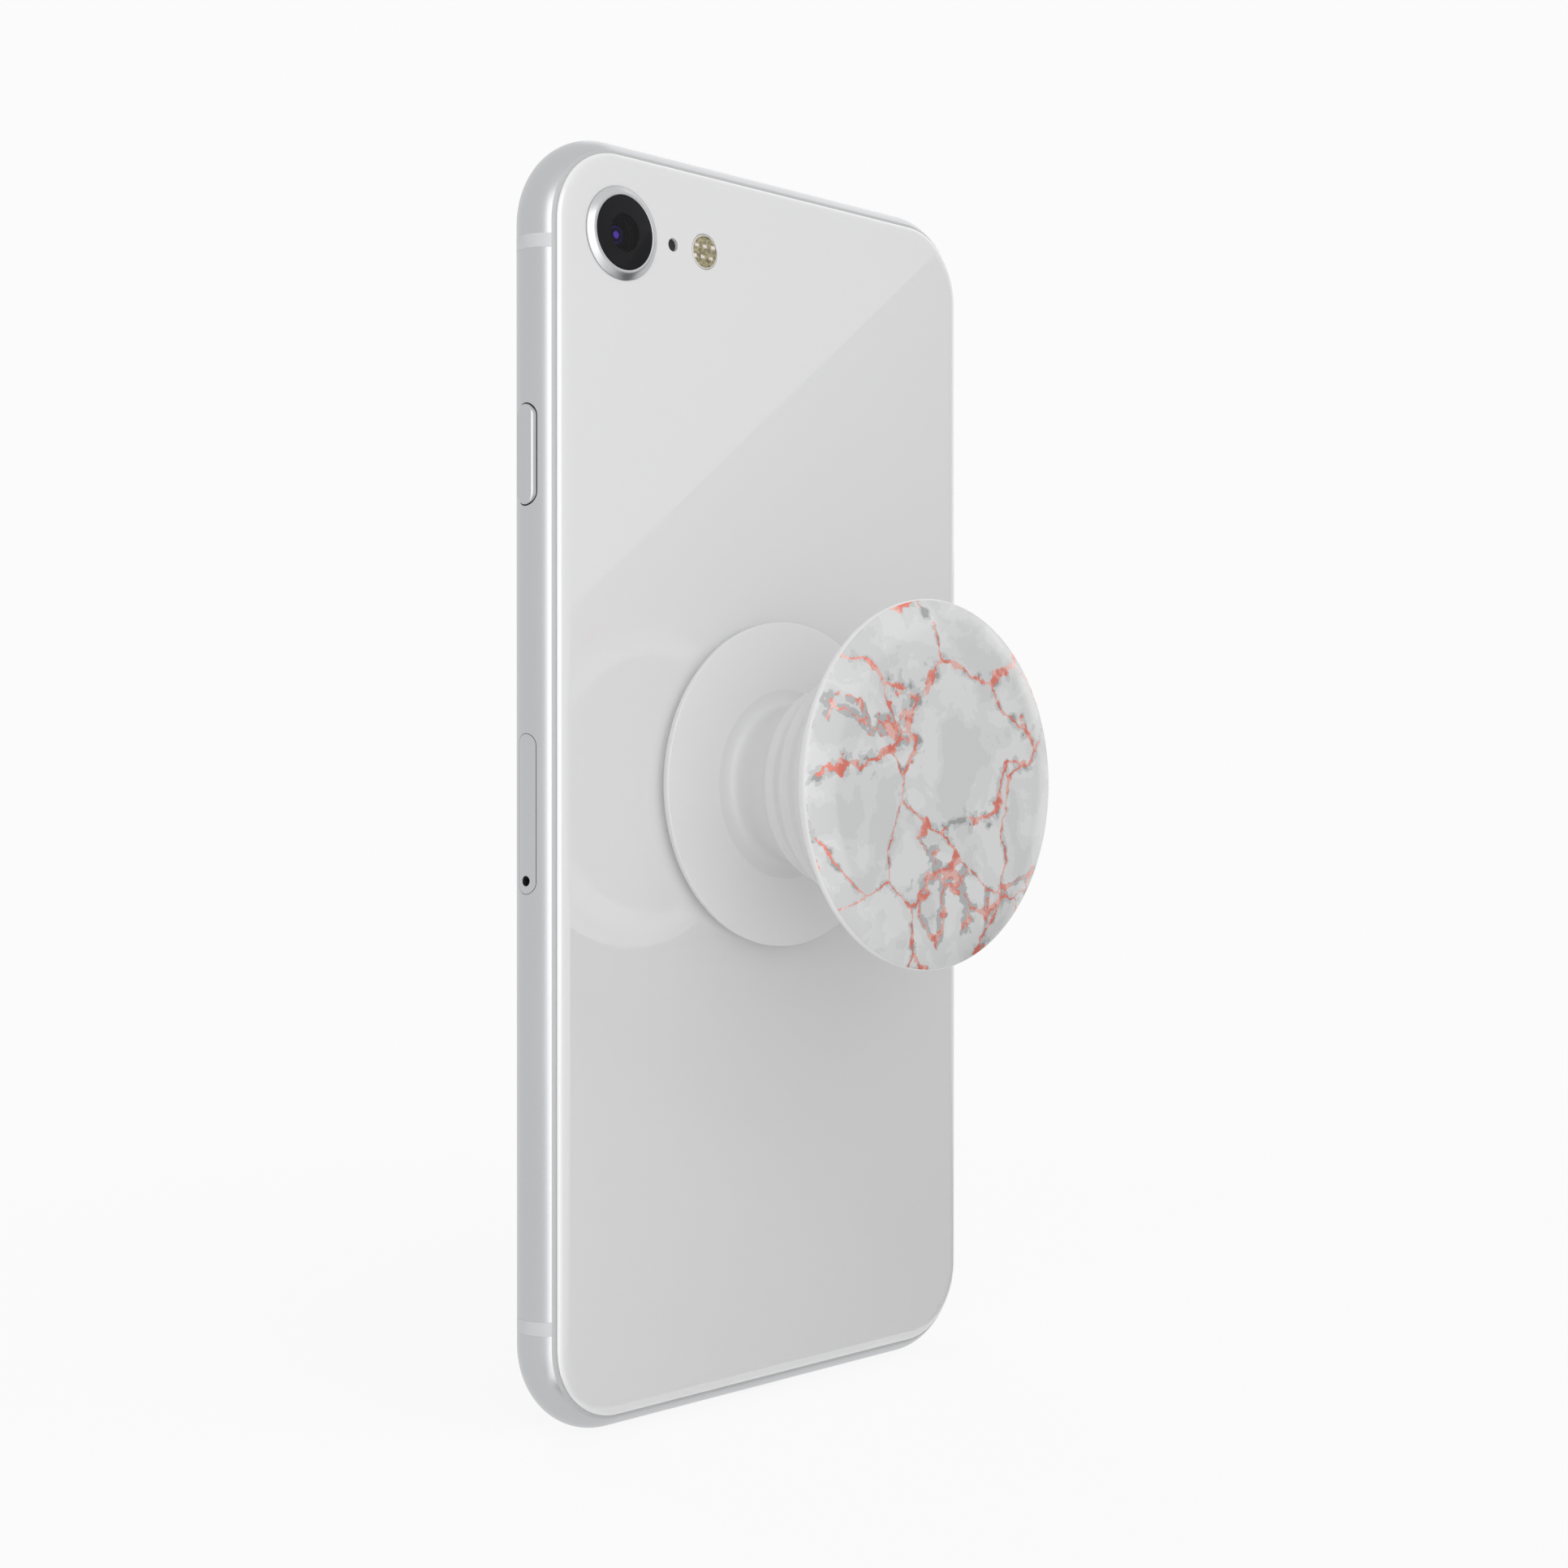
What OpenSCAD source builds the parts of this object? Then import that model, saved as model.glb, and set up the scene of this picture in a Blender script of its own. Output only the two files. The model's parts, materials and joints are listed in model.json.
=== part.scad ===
// Slab smartphone with a collapsible finger grip on its back.
// +Z runs up the phone from the middle of its bottom edge, the screen faces -Y and the back faces +Y.

/* [Phone body] */
// Width across the two long sides
phone_w = 67.3; // [64:0.1:80]
// Height from the bottom edge to the top edge
phone_h = 138.4; // [134:0.1:165]
// Thickness from the screen glass to the back glass
phone_t = 7.3; // [7.1:0.1:9]
// Radius of the four corners, seen from the back
corner_r = 10.2; // [9.4:0.1:13]
// How far the metal band bulges past its rims
band_bulge = 1.4; // [0.8:0.05:1.7]
// Thickness of the band's wall at its middle
wall = 3; // [2.6:0.1:3.4]
// Height of each plastic antenna break in the band
break_h = 1.45; // [0.8:0.05:2.5]
// Distance from a phone end to the middle of its antenna breaks
break_from_end = 12.3; // [10:0.1:18]
// Thickness of the metal plate behind the back glass
plate_t = 0.5; // [0.3:0.05:0.7]
// Clearance between pieces that are fitted together
fit = 0.05; // [0.02:0.01:0.1]

/* [Glass and display] */
// Thickness of each glass sheet
glass_t = 0.6; // [0.5:0.05:0.8]
// Distance from the phone's outline to the edge of the glass
glass_inset = 1.8; // [1.6:0.05:2.2]
// Radius of the rounded edge of the glass
glass_edge_r = 1; // [0.9:0.05:1.4]
// Thickness of the gasket between band and glass
gasket_t = 0.25; // [0.15:0.05:0.3]
// Distance from the phone's outline to the inner edge of the gasket
gasket_inner = 3.3; // [3:0.1:3.6]
// Width of the black border beside the lit screen
side_bezel = 4.4; // [4:0.1:6]
// Height of the black border above and below the lit screen
end_bezel = 17.2; // [16.8:0.1:20]
// Thickness of the display panel
panel_t = 1.4; // [1.1:0.05:1.5]
// Thickness of the steel sheet behind the display panel
shield_t = 0.2; // [0.1:0.05:0.3]
// Radius of the round key below the screen
home_r = 5.4; // [4.6:0.1:5.5]
// Distance from the bottom edge to the middle of that key
home_from_bottom = 9.6; // [9.6:0.1:10.4]
// Length of the earpiece slot
earpiece_len = 10; // [7:0.1:12]
// Distance from the top edge to the middle of the earpiece slot
earpiece_from_top = 6.7; // [6.5:0.1:7.5]

/* [Rear camera] */
// Distance from the long side to the camera's axis
camera_from_side = 10.37; // [10:0.05:13]
// Distance from the top edge to the camera's axis
camera_from_top = 10.32; // [10:0.05:13]
// Outer radius of the camera ring
ring_r = 5; // [4.8:0.05:5.6]
// How far the camera ring stands proud of the glass
ring_proud = 0.63; // [0.5:0.01:1.2]
// Radius of the cover glass in the ring
cover_r = 3.9; // [3.6:0.05:4.1]
// Side of the square camera housing
housing_w = 9.6; // [8.4:0.1:9.8]
// Radius of the lens barrel
barrel_r = 2.9; // [2.4:0.1:3]
// Focus travel of the lens barrel
focus_travel = 0.3; // [0.1:0.05:0.4]
// Distance from the camera's axis to the rear microphone
mic_from_camera = 7.55; // [7:0.05:8.2]
// Radius of the rear microphone hole
mic_r = 0.7; // [0.5:0.05:0.9]
// Distance from the camera's axis to the flash
flash_from_camera = 12.3; // [12:0.05:14]
// Radius of the flash
flash_r = 1.9; // [1.6:0.05:2.1]

/* [Keys on the long sides] */
// Length of the side button
side_key_len = 10.6; // [8:0.1:12]
// Distance from the top edge to the middle of the side button
side_key_from_top = 34.56; // [32:0.1:40]
// Length of each volume button
volume_len = 9.6; // [7:0.1:10.5]
// Distance from the top edge to the middle of the upper volume button
volume_from_top = 35.5; // [34:0.1:40]
// Distance between the middles of the volume buttons
volume_pitch = 11.9; // [11.2:0.1:14]
// Width of every key across the thickness of the phone
key_w = 2.6; // [2.2:0.05:2.7]
// Distance of the key centres behind the middle of the thickness
key_y = 0.25; // [0:0.05:0.4]
// How far a key stands proud of the band
key_proud = 0.3; // [0.15:0.05:0.5]
// Travel of a pressed key
key_travel = 0.25; // [0.1:0.05:0.3]
// Length of the ring switch
switch_len = 5.2; // [4:0.1:6]
// Width of the ring switch across the thickness of the phone
switch_w = 1.5; // [1.1:0.1:1.7]
// Distance from the top edge to the middle of the ring switch
switch_from_top = 23; // [22:0.1:25]
// Travel of the ring switch
switch_travel = 1.2; // [0.8:0.1:1.4]

/* [Card tray] */
// Length of the tray's face
tray_len = 16.8; // [16.4:0.1:19]
// Width of the tray's face
tray_w = 2.5; // [2.1:0.05:2.7]
// Distance from the top edge to the middle of the tray
tray_from_top = 72.23; // [66:0.1:76]
// Depth of the tray from its face to its tail
tray_depth = 19.2; // [18.6:0.1:20.6]
// Thickness of the tray's blade
blade_t = 0.85; // [0.75:0.05:0.95]
// Radius of the pin hole that ejects the tray
pin_r = 0.55; // [0.4:0.05:0.6]
// Distance from the lower end of the tray's face to the pin hole
pin_from_end = 1.36; // [1.2:0.02:1.5]
// Long side of the card
card_len = 12.3; // [11.5:0.1:12.3]
// Short side of the card
card_w = 8.8; // [8:0.1:8.8]
// Thickness of the card
card_t = 0.6; // [0.4:0.05:0.65]

/* [Bottom end] */
// Width of the charging socket
port_w = 8; // [7:0.1:9]
// Height of the charging socket
port_h = 2.6; // [2.2:0.1:2.8]
// Depth of the charging socket from the bottom edge
port_depth = 9.4; // [7:0.1:9.6]
// Radius of each sound hole
sound_hole_r = 0.75; // [0.5:0.05:0.9]
// Distance between neighbouring sound holes
sound_hole_pitch = 2.3; // [2:0.1:2.5]
// Sound holes on each side of the socket
sound_holes = 6; // [3:1:6]
// Distance from the middle to the first sound hole
first_sound_hole = 10.5; // [9.5:0.1:11]
// Distance from the middle to each bottom screw
screw_from_middle = 6.6; // [6.4:0.1:7.4]
// Radius of a bottom screw's head
screw_head_r = 0.8; // [0.6:0.05:0.9]

/* [Inside] */
// Height of the bay below the battery
lower_bay = 28.8; // [28:0.1:34]
// Thickness of the battery
battery_t = 3.2; // [2.4:0.05:3.3]
// Thickness of the tape behind the battery
tape_t = 0.25; // [0.1:0.05:0.3]
// Width of the logic board beside the battery
board_w = 17.5; // [17.3:0.1:20]
// Thickness of the logic board
board_t = 0.8; // [0.5:0.05:0.8]
// Height of the board's arm above the battery
arm_h = 8; // [7:0.1:10]
// Height of the shield cans on the board
can_h = 1.9; // [1:0.1:2]
// Outer radius of the charging coil
coil_r = 20.5; // [15:0.1:22]
// Inner radius of the charging coil
coil_bore_r = 9; // [6:0.1:12]
// Height of the vibration unit
haptic_h = 12; // [9:0.1:14]
// Travel of the vibrating weight to each side
haptic_travel = 0.4; // [0.2:0.05:0.6]

/* [Grip] */
// Radius of the adhesive pad under the grip
pad_r = 17.4; // [14:0.1:18]
// Thickness of the adhesive pad
pad_t = 0.5; // [0.3:0.05:1]
// Radius of the grip's base
base_r = 18.35; // [16:0.05:19.5]
// Thickness of the grip's base
base_t = 1.45; // [1:0.05:2]
// Radius of the bellows where it leaves the base
foot_r = 7.3; // [6:0.1:9]
// Radius of the bellows where it meets the top
mouth_r = 15.4; // [13:0.1:16.5]
// Height of the pulled-out bellows
bellows_h = 18.4; // [14:0.1:22]
// Wall of the bellows
bellows_wall = 0.9; // [0.6:0.05:1.2]
// Number of fold ridges round the bellows
ridges = 3; // [2:1:5]
// How far each fold ridge stands out of the bellows' cone
ridge_out = 0.3; // [0.1:0.05:0.5]
// Radius of the grip's round top
top_r = 19.85; // [18:0.05:22]
// Thickness of the plate under the printed cap
top_plate_t = 2.6; // [2:0.1:3.5]
// Thickness of the cap: a ring with a printed disc let into it
cap_t = 1.9; // [1.6:0.05:2.6]
// Radius of the ring's thin outer edge
cap_rim_r = 0.55; // [0.4:0.05:0.7]
// Width of the band in which the ring rolls off to its edge
cap_roll = 3.8; // [2.5:0.1:5]
// Flat part of the ring, round the printed disc
cap_land = 1; // [0.5:0.1:2]

/* [Hidden] */
$fn = 96;

// How far a cutting shape runs past the surface it cuts
past = 1;

// Levels through the thickness, from the middle of the phone towards the back glass
half_w = phone_w / 2;
half_t = phone_t / 2;
glass_y = half_t - glass_t;
rim_y = glass_y - gasket_t;
plate_y = rim_y - plate_t;
panel_y = -glass_y + panel_t;
shield_y = panel_y + shield_t;
bulge_r = (rim_y * rim_y + band_bulge * band_bulge) / (2 * band_bulge);

// Inner face of the band's wall, and the ends of the antenna breaks
in_x = half_w - wall;
in_top = phone_h - wall;
in_r = corner_r - wall;
break_z0 = break_from_end - break_h / 2;
break_z1 = break_from_end + break_h / 2;

// Rounded glass edge: its arc meets the flat face at a slight crease
edge_crease = 0.02;
edge_y = half_t - glass_edge_r + edge_crease;
edge_d = glass_inset + sqrt(pow(glass_edge_r, 2) - pow(glass_y - edge_y, 2));
core_d = edge_d + glass_edge_r / 2;

// Round touch key, and the display panel above it
home_ring_w = 0.65;
home_sink = 0.05;
home_flange_t = 0.3;
home_lip = 0.5;
panel_gap = 0.3;
panel_over = 0.5;
panel_tail = 2;
panel_corner_r = 1.5;
panel_x = half_w - side_bezel + panel_over;
panel_z0 = home_from_bottom + home_r + home_lip + panel_gap;
panel_z1 = phone_h - end_bezel + panel_tail;

// Earpiece, front camera and light sensors
earpiece_z = phone_h - earpiece_from_top;
earpiece_w = 1.5;
mesh_sink = 0.2;
speaker_unit_over = 1.5;
speaker_unit_w = earpiece_len + 2 * speaker_unit_over;
speaker_unit_h = 6.2;
speaker_unit_t = 2.4;
speaker_unit_drop = 0.5;
eye_r = 1.5;
eye_t = 0.8;
eye_drop = 0.4;
eye_body_w = 5.6;
eye_body_t = 2.8;
eye_side = 7;
light_side = 6.5;
eye_x = -earpiece_len / 2 - eye_side;
light_x = earpiece_len / 2 + light_side;
light_w = 3;
light_t = 1.1;
lead_w = 2;
lead_drop = 6.4;
lead_z = earpiece_z - lead_drop;
flex_t = 0.15;

// Camera row
cam_x = half_w - camera_from_side;
cam_z = phone_h - camera_from_top;
mic_x = cam_x - mic_from_camera;
flash_x = cam_x - flash_from_camera;
neck_wall = 0.6;
neck_r = cover_r + neck_wall;
ring_top = half_t + ring_proud;
ring_edge = 0.15;
ring_land = 0.4;
cover_lip = 0.4;
cover_t = 0.5;
cover_sink = 0.03;
cover_y = ring_top - cover_sink - cover_t;
housing_t = 3.2;
housing_y = plate_y - housing_t;
housing_corner_r = 0.8;
sensor_t = 0.3;
sensor_inset = 0.2;
barrel_gap = 0.3;
barrel_drop = 1.7;
barrel_y = plate_y - barrel_drop;
focus_clear = 0.45;
barrel_top = cover_y - focus_travel - focus_clear;
barrel_wall = 0.7;
lens_r = barrel_r - barrel_wall;
lens_seat = 0.9;
lens_ledge = 0.6;
lens_bore_r = lens_r - lens_ledge;
lens_sink = 0.2;
lens_bevel = 0.3;
lens_crown = 0.35;
lens_curve_r = (lens_r * lens_r + lens_crown * lens_crown) / (2 * lens_crown);
flash_lip = 0.4;
led_w = 4.2;
led_t = 0.8;
die_w = 0.8;
die_t = 0.3;
die_pitch = 1.2;
mic_lip = 0.2;
mic_mesh_t = 0.35;
mic_w = 2.8;
mic_t = 1.1;
small_corner_r = 0.3;

// Keys: a stem through the wall, a flange inside it and a dome switch behind the flange
flange_t = 0.4;
flange_gap = 0.2;
flange_over = 0.9;
flange_x = in_x - flange_gap - flange_t;
key_slot_gap = 0.1;
key_bevel = 0.2;
dome_t = 0.3;
dome_r = 1.1;
dome_x = flange_x - key_travel - fit;
bracket_t = 0.4;
bracket_len = 5.2;
bracket_reach = 1.25;
bracket_x = dome_x - dome_t - bracket_t;
side_key_z = phone_h - side_key_from_top;
volume_z = phone_h - volume_from_top;

// Ring switch: a lever in a wider slot, its flange and the tab that slides in the housing
ring_z = phone_h - switch_from_top;
switch_y = key_y - switch_travel / 2;
switch_slot_over = 1.2;
switch_flange_low = switch_w / 2 + switch_travel;
switch_flange_top = plate_y - 2 * fit - switch_travel - switch_y;
switch_flange_over = 2;
tab_w = 0.8;
tab_h = 1;
tab_len = 0.8;
tab_gap = 0.2;
switch_body_x = flange_x - flange_gap;
switch_body_d = 1.6;
switch_body_len = 7.2;
switch_body_reach = 1.4;

// Card tray and its reader
tray_z = phone_h - tray_from_top;
pin_z = tray_z - tray_len / 2 + pin_from_end;
pin_wall = 0.35;
tray_head_t = 1.4;
head_x = half_w - tray_head_t;
tray_tail_x = half_w - tray_depth;
tail_rim = 1.2;
blade_rim = 0.5;
blade_w = card_len + 2 * blade_rim + 2 * fit;
blade_y0 = key_y - blade_t / 2;
blade_y1 = key_y + blade_t / 2;
blade_z0 = pin_z + pin_r + pin_wall;
blade_z1 = blade_z0 + blade_w;
card_x = tray_tail_x + tail_rim;
card_floor = 0.15;
card_y = blade_y0 + card_floor;
card_cut = 1.8;
reader_gap = 0.2;
reader_t = 0.25;
reader_back = 0.8;
reader_skin = reader_gap + reader_t;

// Logic board, battery and the bays round them
bay_gap = 0.8;
boss_h = 0.3;
boss_r = 1.5;
board_screw_r = 0.6;
board_head_over = 0.5;
board_head_r = board_screw_r + board_head_over;
board_head_t = 0.5;
board_edge_gap = 0.1;
board_corner_r = 1;
board_y1 = plate_y - boss_h;
board_y0 = board_y1 - board_t;
board_x1 = bracket_x - board_edge_gap;
board_x0 = board_x1 - board_w;
board_z0 = lower_bay - bay_gap;
arm_z1 = cam_z - housing_w / 2 - bay_gap;
arm_z0 = arm_z1 - arm_h;
arm_side_gap = 10.6;
battery_side_gap = 3.2;
arm_x0 = -in_x + arm_side_gap;
battery_x0 = -in_x + battery_side_gap;
battery_x1 = board_x0 - bay_gap;
battery_z1 = arm_z0 - bay_gap;
battery_y1 = plate_y - tape_t;
battery_corner_r = 1.5;
tape_margin = 1.5;
tape_inset = 3;
screw_inset = 1.8;
board_screw_places = [
    [board_x1 - screw_inset, board_z0 + screw_inset],
    [board_x1 - screw_inset, blade_z0 - 2 * screw_inset],
    [board_x1 - screw_inset, arm_z0 - screw_inset / 2],
    [arm_x0 + screw_inset, arm_z0 + arm_h / 2]
];
can_inset = 1.5;
can_corner_r = 0.8;
can_arm_inset = 1;
can_room = 4.4;

// Ribbon plug of the display
plug_w = 8;
plug_h = 3;
plug_t = 1;
plug_side = 3;
plug_up = 1;
plug_x = board_x1 - plug_side - plug_w;
plug_z = arm_z0 + plug_up;

// Charging coil
coil_z = phone_h / 2;
window_gap = 0.9;
window_r = coil_r + window_gap;
ferrite_t = 0.2;
ferrite_over = 0.5;

// Charging port, bottom screws, sound parts and vibration unit
port_wall = 1.6;
port_skin = 0.35;
port_back = 1.2;
port_end = port_depth + port_back;
contacts = 8;
contact_t = 0.12;
contact_w = 0.4;
contact_inset = 1;
contact_pitch = (port_w - port_h - contact_w) / (contacts - 1);
screw_seat = 0.9;
screw_shank_r = 0.5;
screw_sink = 0.25;
unit_t = 3.4;
duct_skin = 0.4;
sound_gap = 1.2;
sound_z = wall + sound_gap;
speaker_screw_gap = 0.6;
speaker_side_gap = 4;
speaker_bay_gap = 8.8;
speaker_x0 = screw_from_middle + speaker_screw_gap;
speaker_x1 = in_x - speaker_side_gap;
speaker_z1 = lower_bay - speaker_bay_gap;
duct_inset = 2;
duct_x0 = speaker_x0 + duct_inset;
duct_x1 = speaker_x1 - duct_inset;
bottom_mic_w = 9.2;
bottom_mic_h = 2.6;
bottom_mic_over = 1.2;
bottom_mic_x1 = -first_sound_hole + bottom_mic_over;
ribbon_w = 6;
ribbon_t = 0.2;
ribbon_h = 5.5;
ribbon_half = 4;
ribbon_over = 3.5;
ribbon_inset = 1;
ribbon_drop = 1.8;
ribbon_x = board_x0 + ribbon_inset;
ribbon_z = lower_bay - ribbon_drop;
haptic_side_gap = 2.8;
haptic_port_gap = 2.25;
haptic_end_gap = 4;
haptic_x0 = -(in_x - haptic_side_gap);
haptic_x1 = -(port_w / 2 + port_wall + haptic_port_gap);
haptic_z0 = wall + haptic_end_gap;
haptic_z1 = haptic_z0 + haptic_h;
haptic_skin = 0.5;
haptic_gap = 0.15;
haptic_cover_t = 0.2;
haptic_y0 = plate_y - unit_t + haptic_cover_t;
haptic_corner_r = 1;
mass_dx = haptic_skin + haptic_travel + haptic_gap;
mass_dz = haptic_skin + haptic_gap;

// Grip
grip_z = phone_h / 2;
base_y = half_t + pad_t;
bellows_y = base_y + base_t;
top_y = bellows_y + bellows_h;
cap_y = top_y + top_plate_t;
foot_flange = 1;
foot_t = 0.8;
ridge_first = 0.4;
ridge_last = 0.81;
groove_share = 0.045;
plate_lip = 0.5;
plate_edge_t = 0.7;
plate_edge_in = 0.6;
plate_rim_in = 0.2;
rim_mid = top_r - cap_rim_r;
roll_drop = cap_t - cap_rim_r;
roll_sum = cap_roll * cap_roll + roll_drop * roll_drop - cap_rim_r * cap_rim_r;
roll_r = roll_sum / (2 * (roll_drop - cap_rim_r));
roll_end = acos(cap_roll / (roll_r - cap_rim_r));
print_r = rim_mid - cap_roll - cap_land;
arc_steps = 10;

// Helpers: solids drawn from outlines in the plane of the phone's back, and solids turned about a Y axis
module upright(y0, y1) translate([0, y1, 0]) rotate([90, 0, 0]) linear_extrude(y1 - y0) children();
module turned(x, z) translate([x, 0, z]) rotate([-90, 0, 0]) rotate_extrude() children();
module along_x(x, y, z) translate([x, y, z]) rotate([0, 90, 0]) children();
module box(x0, x1, y0, y1, z0, z1) translate([x0, y0, z0]) cube([x1 - x0, y1 - y0, z1 - z0]);
module hole(x, z, r) translate([x, z]) circle(r);
module pane(x0, x1, z0, z1) translate([x0, z0]) square([x1 - x0, z1 - z0]);

module rounded(x0, x1, z0, z1, r) {
    pane(x0 + r, x1 - r, z0, z1);
    pane(x0, x1, z0 + r, z1 - r);
    for (x = [x0 + r, x1 - r], z = [z0 + r, z1 - r]) hole(x, z, r);
}
module tile(x, z, w, h, r) rounded(x - w / 2, x + w / 2, z - h / 2, z + h / 2, r);

module stadium(len, w) {
    square([len - w, w], center = true);
    for (end = [-1, 1]) translate([end * (len - w) / 2, 0]) circle(d = w);
}

// Long slot or bar through a long side: its length runs along Z
module slot_x(x0, x1, y, z, len, w) along_x(x0, y, z) linear_extrude(x1 - x0) stadium(len, w);

// The same with a bevelled outer face
module bevelled_bar(x0, x1, y, z, len, w) {
    h = x1 - x0;
    half = [[0, 0], [w / 2, 0], [w / 2, h - key_bevel], [w / 2 - key_bevel, h], [0, h]];
    for (end = [-1, 1]) along_x(x0, y, z + end * (len - w) / 2) rotate_extrude() polygon(half);
    for (side = [0, 1]) translate([x0, y, z - (len - w) / 2]) mirror([0, side, 0])
        linear_extrude(len - w) polygon([for (p = half) [p[1], p[0]]]);
}

// Long slot through the bottom: its length runs along X
module slot_z(z0, z1, len, w) translate([0, 0, z0]) linear_extrude(z1 - z0) stadium(len, w);

// Copies on both long sides, and at both ends
module both_sides() {
    children();
    mirror([1, 0, 0]) children();
}
module both_ends() {
    children();
    translate([0, 0, phone_h]) mirror([0, 0, 1]) children();
}

// Sweeps an edge profile round the phone's outline. In the profile, x is the distance in from the outline.
module long_edge()
    translate([half_w, 0, corner_r])
        linear_extrude(phone_h - 2 * corner_r) mirror([1, 0]) children();
module short_edge()
    translate([half_w - corner_r, 0, phone_h]) rotate([0, -90, 0])
        linear_extrude(phone_w - 2 * corner_r) mirror([1, 0]) children();
module corner_edge()
    translate([half_w - corner_r, 0, corner_r]) rotate([-90, 0, 0])
        rotate_extrude(angle = 90) translate([corner_r, 0]) mirror([1, 0]) children();
module edge_sweep() {
    both_sides() long_edge() children();
    both_ends() short_edge() children();
    both_sides() both_ends() corner_edge() children();
}

// Metal band: a bulged outer face and a flat inner one
module band_profile() intersection() {
    translate([bulge_r, 0]) circle(bulge_r);
    pane(-past, wall, -rim_y, rim_y);
}
module band() edge_sweep() band_profile();
module band_between(z0, z1) intersection() {
    band();
    box(-half_w - past, half_w + past, -half_t, half_t, z0, z1);
}

module frame_top() color("#c4c6c9") band_between(phone_h - break_z0, phone_h + past);

module frame_bottom() color("#c4c6c9") difference() {
    band_between(-past, break_z0);
    slot_z(-past, wall + past, port_w, port_h);
    both_sides() {
        translate([screw_from_middle, 0, -past]) cylinder(r = screw_head_r + fit, h = screw_seat + past);
        translate([screw_from_middle, 0, 0]) cylinder(r = screw_shank_r, h = wall + past);
        for (i = [0 : sound_holes - 1])
            translate([first_sound_hole + i * sound_hole_pitch, 0, -past])
                cylinder(r = sound_hole_r, h = wall + 2 * past);
    }
}

// Side of the band between its antenna breaks
module rail() intersection() {
    band_between(break_z1, phone_h - break_z1);
    box(0, half_w + past, -half_t, half_t, 0, phone_h);
}
module wall_slot(z, len, w) slot_x(in_x - past, half_w + past, key_y, z, len, w);
module key_slot(z, len) wall_slot(z, len + 2 * key_slot_gap, key_w + 2 * key_slot_gap);

module rail_right() color("#c4c6c9") difference() {
    rail();
    key_slot(side_key_z, side_key_len);
    wall_slot(tray_z, tray_len + 2 * fit, tray_w + 2 * fit);
}

module rail_left() color("#c4c6c9") mirror([1, 0, 0]) difference() {
    rail();
    key_slot(volume_z, volume_len);
    key_slot(volume_z - volume_pitch, volume_len);
    wall_slot(ring_z, switch_len + switch_slot_over, switch_w + switch_travel + 2 * key_slot_gap);
}

module antenna_bands() color("#d6d8da") {
    band_between(break_z0, break_z1);
    band_between(phone_h - break_z1, phone_h - break_z0);
}

// Steel plate that carries the inner parts, with windows for the coil and the camera row
module mid_plate() color("#9aa0a6") {
    upright(plate_y, rim_y) difference() {
        rounded(-in_x + fit, in_x - fit, wall + fit, in_top - fit, in_r - fit);
        hole(0, coil_z, window_r);
        hole(cam_x, cam_z, barrel_r + barrel_gap);
        hole(mic_x, cam_z, mic_r - mic_lip);
        hole(flash_x, cam_z, flash_r - flash_lip);
        for (place = board_screw_places) hole(place[0], place[1], board_screw_r);
    }
    upright(board_y1, plate_y) for (place = board_screw_places) difference() {
        hole(place[0], place[1], boss_r);
        hole(place[0], place[1], board_screw_r);
    }
}

// Gasket under a glass: its sloped outer edge is the seam that shows
module gasket() edge_sweep() polygon([
    [band_bulge, rim_y], [glass_inset, glass_y], [gasket_inner, glass_y], [gasket_inner, rim_y]
]);
module rear_gasket() color("#cdd0d2") gasket();
module front_gasket() color("#cdd0d2") mirror([0, 1, 0]) gasket();

// Glass sheet with a rounded edge: the edge is swept, and a flat core fills the middle
module glass_profile() intersection() {
    union() {
        translate([edge_d, edge_y]) circle(glass_edge_r);
        translate([edge_d, glass_y]) square([glass_edge_r, glass_t]);
    }
    pane(0, edge_d + glass_edge_r, glass_y, half_t);
}
module glass_sheet() {
    edge_sweep() glass_profile();
    upright(glass_y, half_t)
        rounded(core_d - half_w, half_w - core_d, core_d, phone_h - core_d, corner_r - core_d);
}

module rear_glass() color("#dfe0e1") difference() {
    glass_sheet();
    upright(glass_y - past, half_t + past) {
        hole(cam_x, cam_z, neck_r + fit);
        hole(mic_x, cam_z, mic_r);
        hole(flash_x, cam_z, flash_r + fit);
    }
}

module front_glass() color("#1b1c1e") difference() {
    mirror([0, 1, 0]) glass_sheet();
    upright(-half_t - past, past - glass_y) {
        hole(0, home_from_bottom, home_r + fit);
        translate([0, earpiece_z]) stadium(earpiece_len, earpiece_w);
    }
}

// Display panel behind the screen glass, its steel backing and the ribbon to the board
module panel_outline() rounded(-panel_x, panel_x, panel_z0, panel_z1, panel_corner_r);
module display_panel() color("#2b2d31") upright(-glass_y, panel_y) panel_outline();
module display_shield() color("#aeb3b8") upright(panel_y, shield_y) panel_outline();
module display_flex() color("#a8702d") translate([plug_x, 0, plug_z]) {
    box(0, plug_w, board_y0 - plug_t, board_y0, 0, plug_h);
    box(0, plug_w, shield_y, board_y0 - plug_t / 2, plug_h, plug_h + flex_t);
    box(0, plug_w, shield_y, shield_y + flex_t, plug_h, 2 * plug_h);
}

// Round touch key: a disc with a flange behind the glass, and the metal ring that sits on the flange
module home_button() color("#17181a") turned(0, home_from_bottom) polygon([
    [0, -half_t + 2 * home_sink], [home_r - home_ring_w - fit, -half_t + 2 * home_sink],
    [home_r - home_ring_w - fit, -glass_y], [home_r + home_lip, -glass_y],
    [home_r + home_lip, -glass_y + home_flange_t], [0, -glass_y + home_flange_t]
]);
module home_button_ring() color("#c9cbce") turned(0, home_from_bottom) polygon([
    [home_r - home_ring_w, -glass_y], [home_r - home_ring_w, -half_t + 2 * home_sink],
    [home_r - home_ring_w / 2, -half_t + home_sink], [home_r, -half_t + home_sink], [home_r, -glass_y]
]);

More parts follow.
